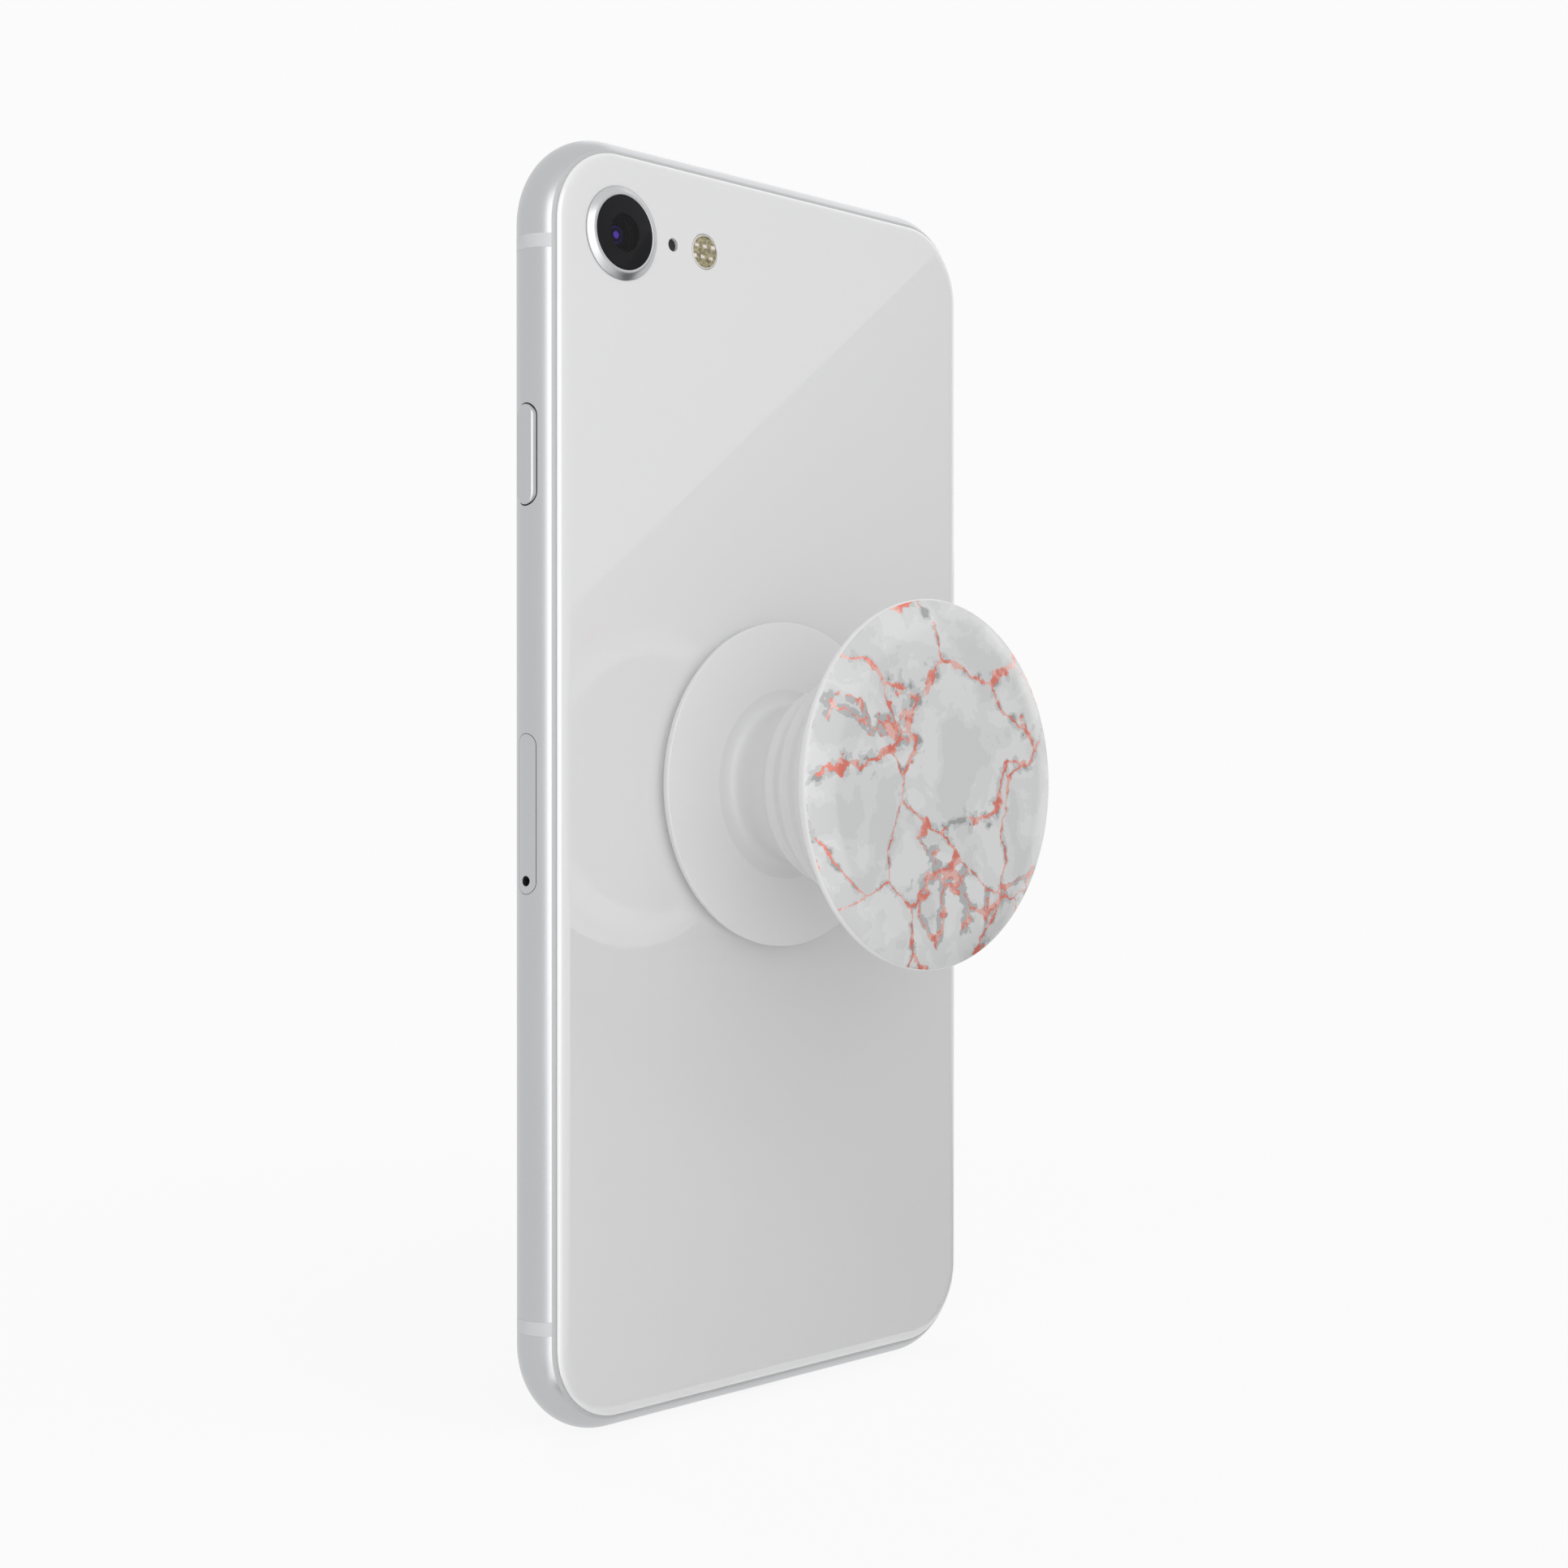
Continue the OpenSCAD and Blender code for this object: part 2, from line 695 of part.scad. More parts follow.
// Earpiece behind its slot, with the front camera and the light sensors beside it
module earpiece_mesh() color("#6f7276") upright(-half_t + mesh_sink, -glass_y)
    translate([0, earpiece_z]) stadium(earpiece_len - 2 * fit, earpiece_w - 2 * fit);
module earpiece_speaker() color("#3a3c40") upright(-glass_y, -glass_y + speaker_unit_t)
    tile(0, earpiece_z - speaker_unit_drop, speaker_unit_w, speaker_unit_h, housing_corner_r);
module front_camera() color("#26272b") {
    upright(-glass_y, -glass_y + eye_t) hole(eye_x, earpiece_z - eye_drop, eye_r);
    upright(-glass_y + eye_t, -glass_y + eye_t + eye_body_t)
        tile(eye_x, earpiece_z - eye_drop, eye_body_w, eye_body_w, small_corner_r);
}
module sensor_flex() color("#a8702d") {
    upright(-glass_y, -glass_y + flex_t) {
        pane(eye_x, light_x + light_w / 2, lead_z, lead_z + lead_w);
        pane(light_x - light_w / 2, light_x + light_w / 2, lead_z + lead_w, earpiece_z + light_w / 2);
    }
    upright(-glass_y + flex_t, -glass_y + light_t)
        tile(light_x, earpiece_z, light_w, light_w, small_corner_r);
}

// Rear camera: a bevelled ring seated on the plate, its cover glass, and the focusing barrel in its housing
module camera_ring() color("#cfd1d4") turned(cam_x, cam_z) polygon([
    [cover_r - cover_lip, rim_y], [neck_r, rim_y], [neck_r, half_t], [ring_r, half_t],
    [ring_r, half_t + ring_edge], [cover_r + ring_land, ring_top], [cover_r + fit, ring_top],
    [cover_r + fit, cover_y], [cover_r - cover_lip, cover_y]
]);
module camera_cover_glass() color("#16161a") upright(cover_y, cover_y + cover_t) hole(cam_x, cam_z, cover_r);
module camera_housing() color("#4b4e53") upright(housing_y, plate_y) difference() {
    tile(cam_x, cam_z, housing_w, housing_w, housing_corner_r);
    hole(cam_x, cam_z, barrel_r + barrel_gap);
}
module image_sensor() color("#2d5a3b") upright(housing_y - sensor_t, housing_y)
    tile(cam_x, cam_z, housing_w - 2 * sensor_inset, housing_w - 2 * sensor_inset, housing_corner_r);
module camera_barrel() color("#1a1a1d") turned(cam_x, cam_z) polygon([
    [lens_bore_r, barrel_y], [barrel_r, barrel_y], [barrel_r, barrel_top],
    [lens_r + lens_bevel, barrel_top], [lens_r + fit, barrel_top - lens_bevel],
    [lens_r + fit, barrel_top - lens_seat], [lens_bore_r, barrel_top - lens_seat]
]);
module camera_lens() color("#3b2f66") turned(cam_x, cam_z) intersection() {
    translate([0, barrel_top - lens_seat]) square([lens_r, lens_seat]);
    translate([0, barrel_top - lens_sink - lens_curve_r]) circle(lens_curve_r);
}

// Flash and rear microphone beside the camera
module flash_lens() color("#d8d0b0") upright(rim_y, half_t) hole(flash_x, cam_z, flash_r);
module flash_led() color("#e8dc9a") {
    upright(plate_y - led_t, plate_y) tile(flash_x, cam_z, led_w, led_w, small_corner_r);
    upright(plate_y, plate_y + die_t) for (x = [-1, 1], z = [-1, 1])
        translate([flash_x + x * die_pitch / 2, cam_z + z * die_pitch / 2]) square(die_w, center = true);
}
module rear_mic_mesh() color("#3b3d40") upright(rim_y, rim_y + mic_mesh_t) hole(mic_x, cam_z, mic_r - fit);
module rear_mic() color("#8d9196") {
    upright(plate_y - mic_t, plate_y) tile(mic_x, cam_z, mic_w, mic_w, small_corner_r);
    upright(plate_y, rim_y) hole(mic_x, cam_z, mic_r - mic_lip - fit);
}

// Pressed key: bevelled cap and stem through the wall, with a retaining flange inside
module key(z, len) {
    slot_x(flange_x, flange_x + flange_t, key_y, z, len + flange_over, key_w + flange_over / 2);
    bevelled_bar(flange_x + flange_t, half_w + key_proud, key_y, z, len, key_w);
}
module side_button() color("#cbcdd0") key(side_key_z, side_key_len);
module volume_up_button() color("#cbcdd0") mirror([1, 0, 0]) key(volume_z, volume_len);
module volume_down_button() color("#cbcdd0") mirror([1, 0, 0]) key(volume_z - volume_pitch, volume_len);

// Dome switch behind a key, on an upright bracket that stands on the plate
module dome_switch(z) {
    box(bracket_x, bracket_x + bracket_t, key_y - bracket_reach, plate_y,
        z - bracket_len / 2, z + bracket_len / 2);
    along_x(dome_x - dome_t, key_y, z) cylinder(r = dome_r, h = dome_t);
}
module key_switches() color("#b98a3e") {
    dome_switch(side_key_z);
    mirror([1, 0, 0]) {
        dome_switch(volume_z);
        dome_switch(volume_z - volume_pitch);
    }
}

// Ring switch: lever, flange and tab, and the housing on the plate
module ring_switch() color("#cbcdd0") mirror([1, 0, 0]) translate([0, switch_y, ring_z]) {
    flange_len = switch_len + switch_flange_over;
    bevelled_bar(flange_x + flange_t, half_w + key_proud, 0, 0, switch_len, switch_w);
    box(flange_x, flange_x + flange_t, -switch_flange_low, switch_flange_top,
        -flange_len / 2, flange_len / 2);
    box(flange_x - tab_len, flange_x, -tab_w / 2, tab_w / 2, -tab_h / 2, tab_h / 2);
}
module ring_switch_housing() color("#3c3e42") mirror([1, 0, 0]) difference() {
    box(switch_body_x - switch_body_d, switch_body_x, key_y - switch_body_reach, plate_y,
        ring_z - switch_body_len / 2, ring_z + switch_body_len / 2);
    box(switch_body_x - tab_len - tab_gap, switch_body_x + past,
        switch_y - tab_w / 2 - tab_gap, switch_y + switch_travel + tab_w / 2 + tab_gap,
        ring_z - tab_h / 2 - tab_gap, ring_z + tab_h / 2 + tab_gap);
}

// Card tray: its face is a piece of the band, its blade carries the card
module sim_tray() color("#cbcdd0") difference() {
    union() {
        intersection() {
            long_edge() band_profile();
            slot_x(head_x, half_w + past, key_y, tray_z, tray_len, tray_w);
        }
        box(tray_tail_x, head_x, blade_y0, blade_y1, blade_z0, blade_z1);
    }
    box(card_x - fit, card_x + card_w + fit, card_y, blade_y1 + past,
        blade_z0 + blade_rim, blade_z1 - blade_rim);
    along_x(head_x - past, key_y, pin_z) cylinder(r = pin_r, h = tray_head_t + 2 * past);
}
module sim_card() color("#e3e5e8") upright(card_y, card_y + card_t)
    translate([card_x, blade_z0 + blade_rim + fit]) polygon([
        [0, 0], [card_w, 0], [card_w, card_len], [card_cut, card_len], [0, card_len - card_cut]
    ]);
module sim_reader() color("#b4b8bc") difference() {
    box(tray_tail_x - reader_back, board_x1, blade_y0 - reader_skin, board_y0,
        blade_z0 - reader_skin, blade_z1 + reader_skin);
    box(tray_tail_x - reader_gap, board_x1 + past, blade_y0 - reader_gap, blade_y1 + reader_gap,
        blade_z0 - reader_gap, blade_z1 + reader_gap);
}

// Charging socket behind its slot, with a row of contacts on its rear wall
module charge_port() color("#54575c") difference() {
    box(-port_w / 2 - port_wall, port_w / 2 + port_wall, -port_h / 2 - port_skin, plate_y,
        wall + fit, port_end);
    slot_z(wall - past, port_depth, port_w, port_h);
}
module port_contacts() color("#d9b44a") for (i = [0 : contacts - 1])
    translate([(i - (contacts - 1) / 2) * contact_pitch, 0, 0])
        box(-contact_w / 2, contact_w / 2, port_h / 2 - contact_t, port_h / 2,
            wall + contact_inset, port_depth - contact_inset / 2);

// Two screws through the bottom of the band
module bottom_screws() color("#9ea2a7") both_sides() translate([screw_from_middle, 0, 0]) {
    translate([0, 0, screw_sink]) cylinder(r = screw_head_r, h = screw_seat - screw_sink);
    translate([0, 0, screw_seat]) cylinder(r = screw_shank_r - fit, h = wall - screw_seat);
}

// Sound parts behind the two rows of holes
module loudspeaker() color("#34363a") {
    upright(plate_y - unit_t, plate_y) rounded(speaker_x0, speaker_x1, sound_z, speaker_z1, housing_corner_r);
    box(duct_x0, duct_x1, -sound_hole_r - duct_skin, sound_hole_r + duct_skin, wall + fit, sound_z + past);
}
module bottom_mic() color("#8d9196")
    box(bottom_mic_x1 - bottom_mic_w, bottom_mic_x1, -sound_hole_r - duct_skin, plate_y,
        wall + fit, wall + bottom_mic_h);

// Ribbon from the charging port up to the logic board
module dock_flex() color("#a8702d") upright(board_y0 - ribbon_t, board_y0) {
    pane(-ribbon_half, ribbon_half, port_end, ribbon_z);
    pane(-ribbon_half, ribbon_x + ribbon_w, ribbon_z - ribbon_h, ribbon_z);
    pane(ribbon_x, ribbon_x + ribbon_w, ribbon_z - ribbon_h, ribbon_z + ribbon_over);
}

// Battery on two pads of pull tape
module battery() color("#2a2b2e") upright(battery_y1 - battery_t, battery_y1)
    rounded(battery_x0, battery_x1, lower_bay, battery_z1, battery_corner_r);
module tape_strip(z0, z1)
    pane(battery_x0 + tape_inset, battery_x1 - tape_inset, z0 + tape_margin, z1 - tape_margin);
module battery_tape() color("#f2f2ee") upright(battery_y1, plate_y) {
    tape_strip(lower_bay, coil_z - window_r);
    tape_strip(coil_z + window_r, battery_z1);
}

// L-shaped board on the plate's bosses, with shield cans on its screen side
module logic_board() color("#1d5c3a") upright(board_y0, board_y1) difference() {
    union() {
        rounded(board_x0, board_x1, board_z0, arm_z1, board_corner_r);
        rounded(arm_x0, board_x1, arm_z0, arm_z1, board_corner_r);
    }
    for (place = board_screw_places) hole(place[0], place[1], board_screw_r);
}
module side_can(z0, z1) rounded(board_x0 + can_inset, board_x1 - can_inset, z0, z1, can_corner_r);
module board_shields() color("#c3c6ca") upright(board_y0 - can_h, board_y0) {
    side_can(board_z0 + can_room, blade_z0 - can_room - reader_skin);
    side_can(blade_z1 + reader_skin + can_inset, arm_z0 - can_room / 2);
    rounded(arm_x0 + can_room, board_x0 - can_room / 2,
        arm_z0 + can_arm_inset, arm_z1 - can_arm_inset, can_corner_r);
}
module board_screws() color("#9ea2a7") for (place = board_screw_places) {
    upright(board_y0 - board_head_t, board_y0) hole(place[0], place[1], board_head_r);
    upright(board_y0, rim_y) hole(place[0], place[1], board_screw_r - fit);
}

// Vibration unit: a tub on the plate, a sprung weight that slides in it and a thin cover
module haptic_outline() rounded(haptic_x0, haptic_x1, haptic_z0, haptic_z1, haptic_corner_r);
module haptic_housing() color("#8d9196") difference() {
    upright(haptic_y0, plate_y) haptic_outline();
    box(haptic_x0 + haptic_skin, haptic_x1 - haptic_skin, haptic_y0 - past, plate_y - haptic_skin,
        haptic_z0 + haptic_skin, haptic_z1 - haptic_skin);
}
module haptic_cover() color("#b4b8bc") upright(haptic_y0 - haptic_cover_t, haptic_y0) haptic_outline();
module haptic_mass() color("#6b6f75") upright(haptic_y0 + haptic_gap, plate_y - haptic_skin - haptic_gap)
    rounded(haptic_x0 + mass_dx, haptic_x1 - mass_dx,
        haptic_z0 + mass_dz, haptic_z1 - mass_dz, small_corner_r);

// Wireless charging coil under the back glass, on its ferrite sheet in the plate's window
module charge_coil() color("#b87333") upright(plate_y + ferrite_t, glass_y) difference() {
    hole(0, coil_z, coil_r);
    hole(0, coil_z, coil_bore_r);
}
module coil_shield() color("#4a4c50") upright(plate_y, plate_y + ferrite_t)
    hole(0, coil_z, coil_r + ferrite_over);

// Grip: adhesive pad and round base with a soft rim
module grip_tape() color("#e9e9e6") upright(half_t, base_y) hole(0, grip_z, pad_r);
module grip_base() color("#d4d5d6") turned(0, grip_z) {
    pane(0, base_r - base_t / 2, base_y, bellows_y);
    intersection() {
        hole(base_r - base_t / 2, base_y + base_t / 2, base_t / 2);
        pane(base_r - base_t / 2 - fit, base_r, base_y, bellows_y);
    }
}

// Grip bellows: a thin cone from base to top, with rounded fold ridges and a groove above each
function cone_r(share) = foot_r + (mouth_r - foot_r) * share;
function ridge_share(i) = ridge_first + (ridge_last - ridge_first) * i / (ridges - 1);
function on_cone(share, out) = [cone_r(share) + out, share * bellows_h];
bellows_outline = concat(
    [[foot_r, 0]],
    [for (i = [0 : ridges - 1]) each [
        on_cone(ridge_share(i), ridge_out), on_cone(ridge_share(i) + groove_share, -ridge_out)
    ]],
    [[mouth_r, bellows_h]]
);
bellows_lining = [for (i = [len(bellows_outline) - 1 : -1 : 0]) bellows_outline[i] - [bellows_wall, 0]];
module grip_bellows() color("#d9dadb") turned(0, grip_z) translate([0, bellows_y]) {
    polygon(concat(bellows_outline, bellows_lining));
    pane(foot_r - bellows_wall, foot_r + foot_flange, 0, foot_t);
    for (i = [0 : ridges - 1])
        translate(on_cone(ridge_share(i), ridge_out - bellows_wall / 2)) circle(bellows_wall / 2);
}

// Grip top: a dished plate on the bellows, a ring that rolls off to a thin edge, and the printed disc in it
module grip_plate() color("#e4e5e6") turned(0, grip_z) polygon([
    [0, top_y], [mouth_r + plate_lip, top_y], [rim_mid - plate_edge_in, cap_y - plate_edge_t],
    [rim_mid - plate_rim_in, cap_y], [0, cap_y]
]);
function arc(x, y, r, a0, a1) = [
    for (i = [0 : arc_steps]) let (a = a0 + (a1 - a0) * i / arc_steps) [x + r * cos(a), y + r * sin(a)]
];
module grip_rim() color("#e2dedd") turned(0, grip_z) translate([0, cap_y]) polygon(concat(
    [[print_r, 0]],
    arc(rim_mid, cap_rim_r, cap_rim_r, -90, roll_end),
    arc(rim_mid - cap_roll, cap_t - roll_r, roll_r, roll_end, 90),
    [[print_r, cap_t]]
));
module grip_cap() color("#d8d8d8") upright(cap_y, cap_y + cap_t) hole(0, grip_z, print_r);

frame_top();
frame_bottom();
rail_left();
rail_right();
antenna_bands();
mid_plate();
rear_gasket();
rear_glass();
front_gasket();
front_glass();
display_panel();
display_shield();
display_flex();
home_button();
home_button_ring();
earpiece_mesh();
earpiece_speaker();
front_camera();
sensor_flex();
camera_ring();
camera_cover_glass();
camera_housing();
camera_barrel();
camera_lens();
image_sensor();
flash_lens();
flash_led();
rear_mic_mesh();
rear_mic();
side_button();
volume_up_button();
volume_down_button();
ring_switch();
ring_switch_housing();
key_switches();
sim_tray();
sim_card();
sim_reader();
charge_port();
port_contacts();
bottom_screws();
loudspeaker();
bottom_mic();
dock_flex();
battery();
battery_tape();
logic_board();
board_shields();
board_screws();
haptic_housing();
haptic_cover();
haptic_mass();
charge_coil();
coil_shield();
grip_tape();
grip_base();
grip_bellows();
grip_plate();
grip_rim();
grip_cap();
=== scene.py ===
# %% [markdown]
# # A phone with a finger grip
# This lesson dresses a phone that was first built as solid parts. The parts come in as a frame, so every size
# and every joint is already there. Hidden parts keep their solid and only get a finish. The ones that show most
# are built again with finer edges, and each of them then stands for its solid.

import json
from math import asin, copysign, cos, hypot, pi, radians, sin, sqrt

import bmesh
import bpy
from mathutils import Matrix, Vector

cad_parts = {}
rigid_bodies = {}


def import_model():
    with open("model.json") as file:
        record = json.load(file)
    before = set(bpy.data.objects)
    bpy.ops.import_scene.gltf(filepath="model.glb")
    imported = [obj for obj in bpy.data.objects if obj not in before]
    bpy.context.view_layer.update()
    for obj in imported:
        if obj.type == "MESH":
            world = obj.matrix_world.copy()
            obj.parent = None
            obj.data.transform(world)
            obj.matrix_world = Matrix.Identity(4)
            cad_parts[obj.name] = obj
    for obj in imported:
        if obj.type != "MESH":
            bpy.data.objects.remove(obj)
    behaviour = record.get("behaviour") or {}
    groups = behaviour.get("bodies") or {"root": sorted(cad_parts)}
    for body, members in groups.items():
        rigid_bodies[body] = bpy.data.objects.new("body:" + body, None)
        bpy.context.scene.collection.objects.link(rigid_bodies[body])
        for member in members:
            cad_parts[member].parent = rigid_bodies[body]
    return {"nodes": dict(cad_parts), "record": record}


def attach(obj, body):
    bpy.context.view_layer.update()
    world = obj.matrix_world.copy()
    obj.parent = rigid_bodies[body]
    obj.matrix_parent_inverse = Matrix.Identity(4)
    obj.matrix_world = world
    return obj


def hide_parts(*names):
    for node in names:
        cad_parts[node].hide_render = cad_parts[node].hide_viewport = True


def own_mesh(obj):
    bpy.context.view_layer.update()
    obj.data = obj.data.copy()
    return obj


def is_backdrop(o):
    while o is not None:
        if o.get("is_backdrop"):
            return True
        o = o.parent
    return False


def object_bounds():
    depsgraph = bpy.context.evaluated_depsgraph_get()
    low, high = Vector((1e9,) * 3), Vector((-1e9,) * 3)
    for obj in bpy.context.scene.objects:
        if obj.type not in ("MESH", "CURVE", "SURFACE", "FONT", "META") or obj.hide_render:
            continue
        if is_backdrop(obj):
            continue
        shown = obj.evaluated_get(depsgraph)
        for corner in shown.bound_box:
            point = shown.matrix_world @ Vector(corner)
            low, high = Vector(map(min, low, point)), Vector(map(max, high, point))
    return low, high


for spare in list(bpy.data.objects):
    bpy.data.objects.remove(spare)
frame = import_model()
parts = frame["nodes"]
cad_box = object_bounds()
scene = bpy.context.scene
MM = 0.001
print("solid parts:", len(parts), "box in mm:", [[round(v / MM, 2) for v in corner] for corner in cad_box])

# %% [markdown]
# ## Camera
# The photograph is taken nearly level, from the back of the phone and to its right, with a longish lens. A camera
# could be set by eye, but the phone's straight edges allow a sum: the place, the turn and the lens below were
# fitted to its corners. The floor stays level, so the camera only turns and tips a little.

# %% Camera
IMAGE = 1932
FOCAL = 2884.323
TURN, TIP = radians(45.375), radians(-0.195)
EYE = Vector((0.18913, 0.19173, 0.07014))
right = Vector((-cos(TURN), sin(TURN), 0))
behind = Vector((sin(TURN), cos(TURN), 0))
ahead = Vector((0, 0, sin(TIP))) - behind * cos(TIP)
above = Vector((0, 0, cos(TIP))) + behind * sin(TIP)
lens = bpy.data.cameras.new("camera")
lens.sensor_width = 36
lens.lens = FOCAL * lens.sensor_width / IMAGE
lens.clip_start = 0.01


def placed(name, data):
    obj = bpy.data.objects.new(name, data)
    scene.collection.objects.link(obj)
    return obj


camera = placed("camera", lens)
camera.matrix_world = Matrix.Translation(EYE) @ Matrix((right, above, -ahead)).transposed().to_4x4()
scene.camera = camera
scene.view_settings.view_transform = "Standard"
print("lens in mm:", round(lens.lens, 2))

# %% [markdown]
# ## Sums with sockets
# A finish is a sum over a surface, and wiring Math nodes by hand hides that sum. The class below wraps the output
# of a node, so that `1 - mask` or `speck * 0.2` adds the Math node by itself. Every other node comes from one
# method, which takes the node's type, its settings and what feeds its sockets.


# %% Sums
class Wire:
    """The output of a node, ready for sums."""

    def __init__(self, board, socket):
        self.board, self.socket = board, socket

    def out(self, key):
        return Wire(self.board, self.socket.node.outputs[key])

    def math(self, operation, *terms):
        return self.board.node("ShaderNodeMath", {"operation": operation}, dict(enumerate(terms)))

    def __add__(self, other):
        return self.math("ADD", self, other)

    def __radd__(self, other):
        return self.math("ADD", other, self)

    def __sub__(self, other):
        return self.math("SUBTRACT", self, other)

    def __rsub__(self, other):
        return self.math("SUBTRACT", other, self)

    def __mul__(self, other):
        return self.math("MULTIPLY", self, other)

    def __rmul__(self, other):
        return self.math("MULTIPLY", other, self)

    def __truediv__(self, other):
        return self.math("DIVIDE", self, other)

    def __rtruediv__(self, other):
        return self.math("DIVIDE", other, self)

    def __lt__(self, other):
        return self.math("LESS_THAN", self, other)

    def __gt__(self, other):
        return self.math("GREATER_THAN", self, other)

    def most(self, other):
        return self.math("MAXIMUM", self, other)

    def sine(self):
        return self.math("SINE", self)

    def cosine(self):
        return self.math("COSINE", self)

    def size(self):
        return self.math("ABSOLUTE", self)

    def root(self):
        return self.math("SQRT", self)

    def exponent(self):
        return self.math("EXPONENT", self)


print("a wire knows", [name for name in vars(Wire) if not name.startswith("_")])


# %% Boards
class Board:
    """A node tree that one method fills."""

    def __init__(self, tree):
        self.tree = tree

    def node(self, kind, settings=None, feeds=None, out=0):
        """Adds a node, sets it up, feeds its sockets and gives back one of its outputs."""
        made = self.tree.nodes.new(kind)
        for key, value in (settings or {}).items():
            setattr(made, key, value)
        for key, value in (feeds or {}).items():
            if isinstance(value, Wire):
                self.tree.links.new(value.socket, made.inputs[key])
            else:
                made.inputs[key].default_value = value
        return Wire(self, made.outputs[out]) if made.outputs else None

    def place(self, middle=(0, 0, 0)):
        """Place on the piece in millimetres, counted from middle."""
        spot = self.node("ShaderNodeTexCoord").out("Object")
        feeds = {"Vector": spot, "Scale": (1 / MM,) * 3, "Location": [-v for v in middle]}
        return self.node("ShaderNodeMapping", None, feeds)

    def axes(self, vector):
        split = self.node("ShaderNodeSeparateXYZ", None, {0: vector})
        return split, split.out(1), split.out(2)

    def grain(self, spot, per_mm, detail=3, rough=0.5, warp=0):
        feeds = {"Vector": spot, "Scale": per_mm, "Detail": detail, "Roughness": rough, "Distortion": warp}
        return self.node("ShaderNodeTexNoise", None, feeds)

    def step(self, value, low, high, first=0, last=1):
        feeds = {"Value": value, 1: low, 2: high, 3: first, 4: last}
        return self.node("ShaderNodeMapRange", {"interpolation_type": "SMOOTHSTEP"}, feeds)

    def tint(self, share, low, high):
        low, high = [c if isinstance(c, Wire) else (*c, 1) for c in (low, high)]
        return self.node("ShaderNodeMix", {"data_type": "RGBA"}, {0: share, 6: low, 7: high}, 2)

    def bump(self, height, depth_mm):
        return self.node("ShaderNodeBump", None, {"Height": height, "Distance": depth_mm * MM, "Strength": 1})


def blank(owner):
    """An empty board in a new material or world."""
    owner.use_nodes = True
    owner.node_tree.nodes.clear()
    return Board(owner.node_tree)


print("a board knows", [name for name in vars(Board) if not name.startswith("_")])


# %% Materials from sums
def finish(name, paint, **fixed):
    """A material: paint(board) gives what changes over the surface, fixed holds what doesn't."""
    material = bpy.data.materials.new(name)
    board = blank(material)
    feeds = {key.replace("_", " ").title().replace("Ior", "IOR"): value for key, value in fixed.items()}
    shader = board.node("ShaderNodeBsdfPrincipled", None, {**feeds, **paint(board)})
    board.node("ShaderNodeOutputMaterial", None, {"Surface": shader})
    return material


print("ready to paint", len(parts), "parts")

# %% [markdown]
# ## Light, backdrop and floor
# The photograph has an even white backdrop and soft light from the upper left. White could come from more lamps,
# but that would burn out the pale phone. So the world and the floor show white only to rays from the camera, from
# gloss and through glass, and light the phone at a plainer level. One large lamp gives the slope from light to
# grey over the back.

# %% White world
WHITE, FILL = 0.965, 0.58


def seen_ray(board):
    """1 for a ray that sees the backdrop, 0 for one that carries its light."""
    ray = board.node("ShaderNodeLightPath")
    return ray.out("Is Camera Ray").most(ray.out("Is Glossy Ray")).most(ray.out("Is Transmission Ray"))


def studio_world():
    world = bpy.data.worlds.new("studio")
    board = blank(world)
    strength = FILL + seen_ray(board) * (WHITE - FILL)
    sky = board.node("ShaderNodeBackground", None, {"Color": (1, 1, 1, 1), "Strength": strength})
    board.node("ShaderNodeOutputWorld", None, {"Surface": sky})
    return world


scene.world = studio_world()
print("the world shows", WHITE, "and lights the phone at", FILL)

# %% Floor
FLOOR_SHADE, SHADE_FROM, SHADE_TO, SHADE_LIFT = 0.12, 120, 420, 0.29
FAR = 6


def floor_paint():
    """A white floor that keeps a trace of the shadow near the phone."""
    material = bpy.data.materials.new("studio_floor")
    board = blank(material)
    x, y, _ = board.axes(board.place())
    near = board.step((x * x + y * y).root(), SHADE_FROM, SHADE_TO, FLOOR_SHADE, 0)
    matt = board.node("ShaderNodeBsdfDiffuse", None, {"Color": (0.9, 0.9, 0.9, 1)})
    lit = board.node("ShaderNodeEmission", None, {"Color": (1, 1, 1, 1), "Strength": WHITE + near * SHADE_LIFT})
    shader = board.node("ShaderNodeMixShader", None, {0: seen_ray(board) * (1 - near), 1: matt, 2: lit})
    board.node("ShaderNodeOutputMaterial", None, {"Surface": shader})
    return material


def stage_sheet(name, corners, faces, material):
    mesh = bpy.data.meshes.new(name)
    mesh.from_pydata(corners, [], faces)
    mesh.materials.append(material)
    sheet = placed(name, mesh)
    sheet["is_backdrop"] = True
    return sheet


floor = [(-FAR, -FAR, 0), (FAR, -FAR, 0), (FAR, FAR, 0), (-FAR, FAR, 0)]
stage_sheet("floor", floor, [(0, 1, 2, 3)], floor_paint())
print("the floor is", 2 * FAR, "m wide")


# %% Lamps
def lamp(name, place, aim, width, height, watts):
    light = bpy.data.lights.new(name, "AREA")
    light.shape, light.size, light.size_y, light.energy = "RECTANGLE", width, height, watts
    holder = placed(name, light)
    holder.location = place
    holder.rotation_euler = (Vector(aim) - Vector(place)).to_track_quat("-Z", "Y").to_euler()
    holder.visible_camera = holder.visible_glossy = False
    return holder


lamp("key", (0.17, 0.3, 0.2), (0, 0, 0.08), 0.42, 0.42, 0.5)
lamp("front_fill", (-0.25, -0.7, 0.5), (0, 0, 0.07), 0.5, 0.5, 1.2)

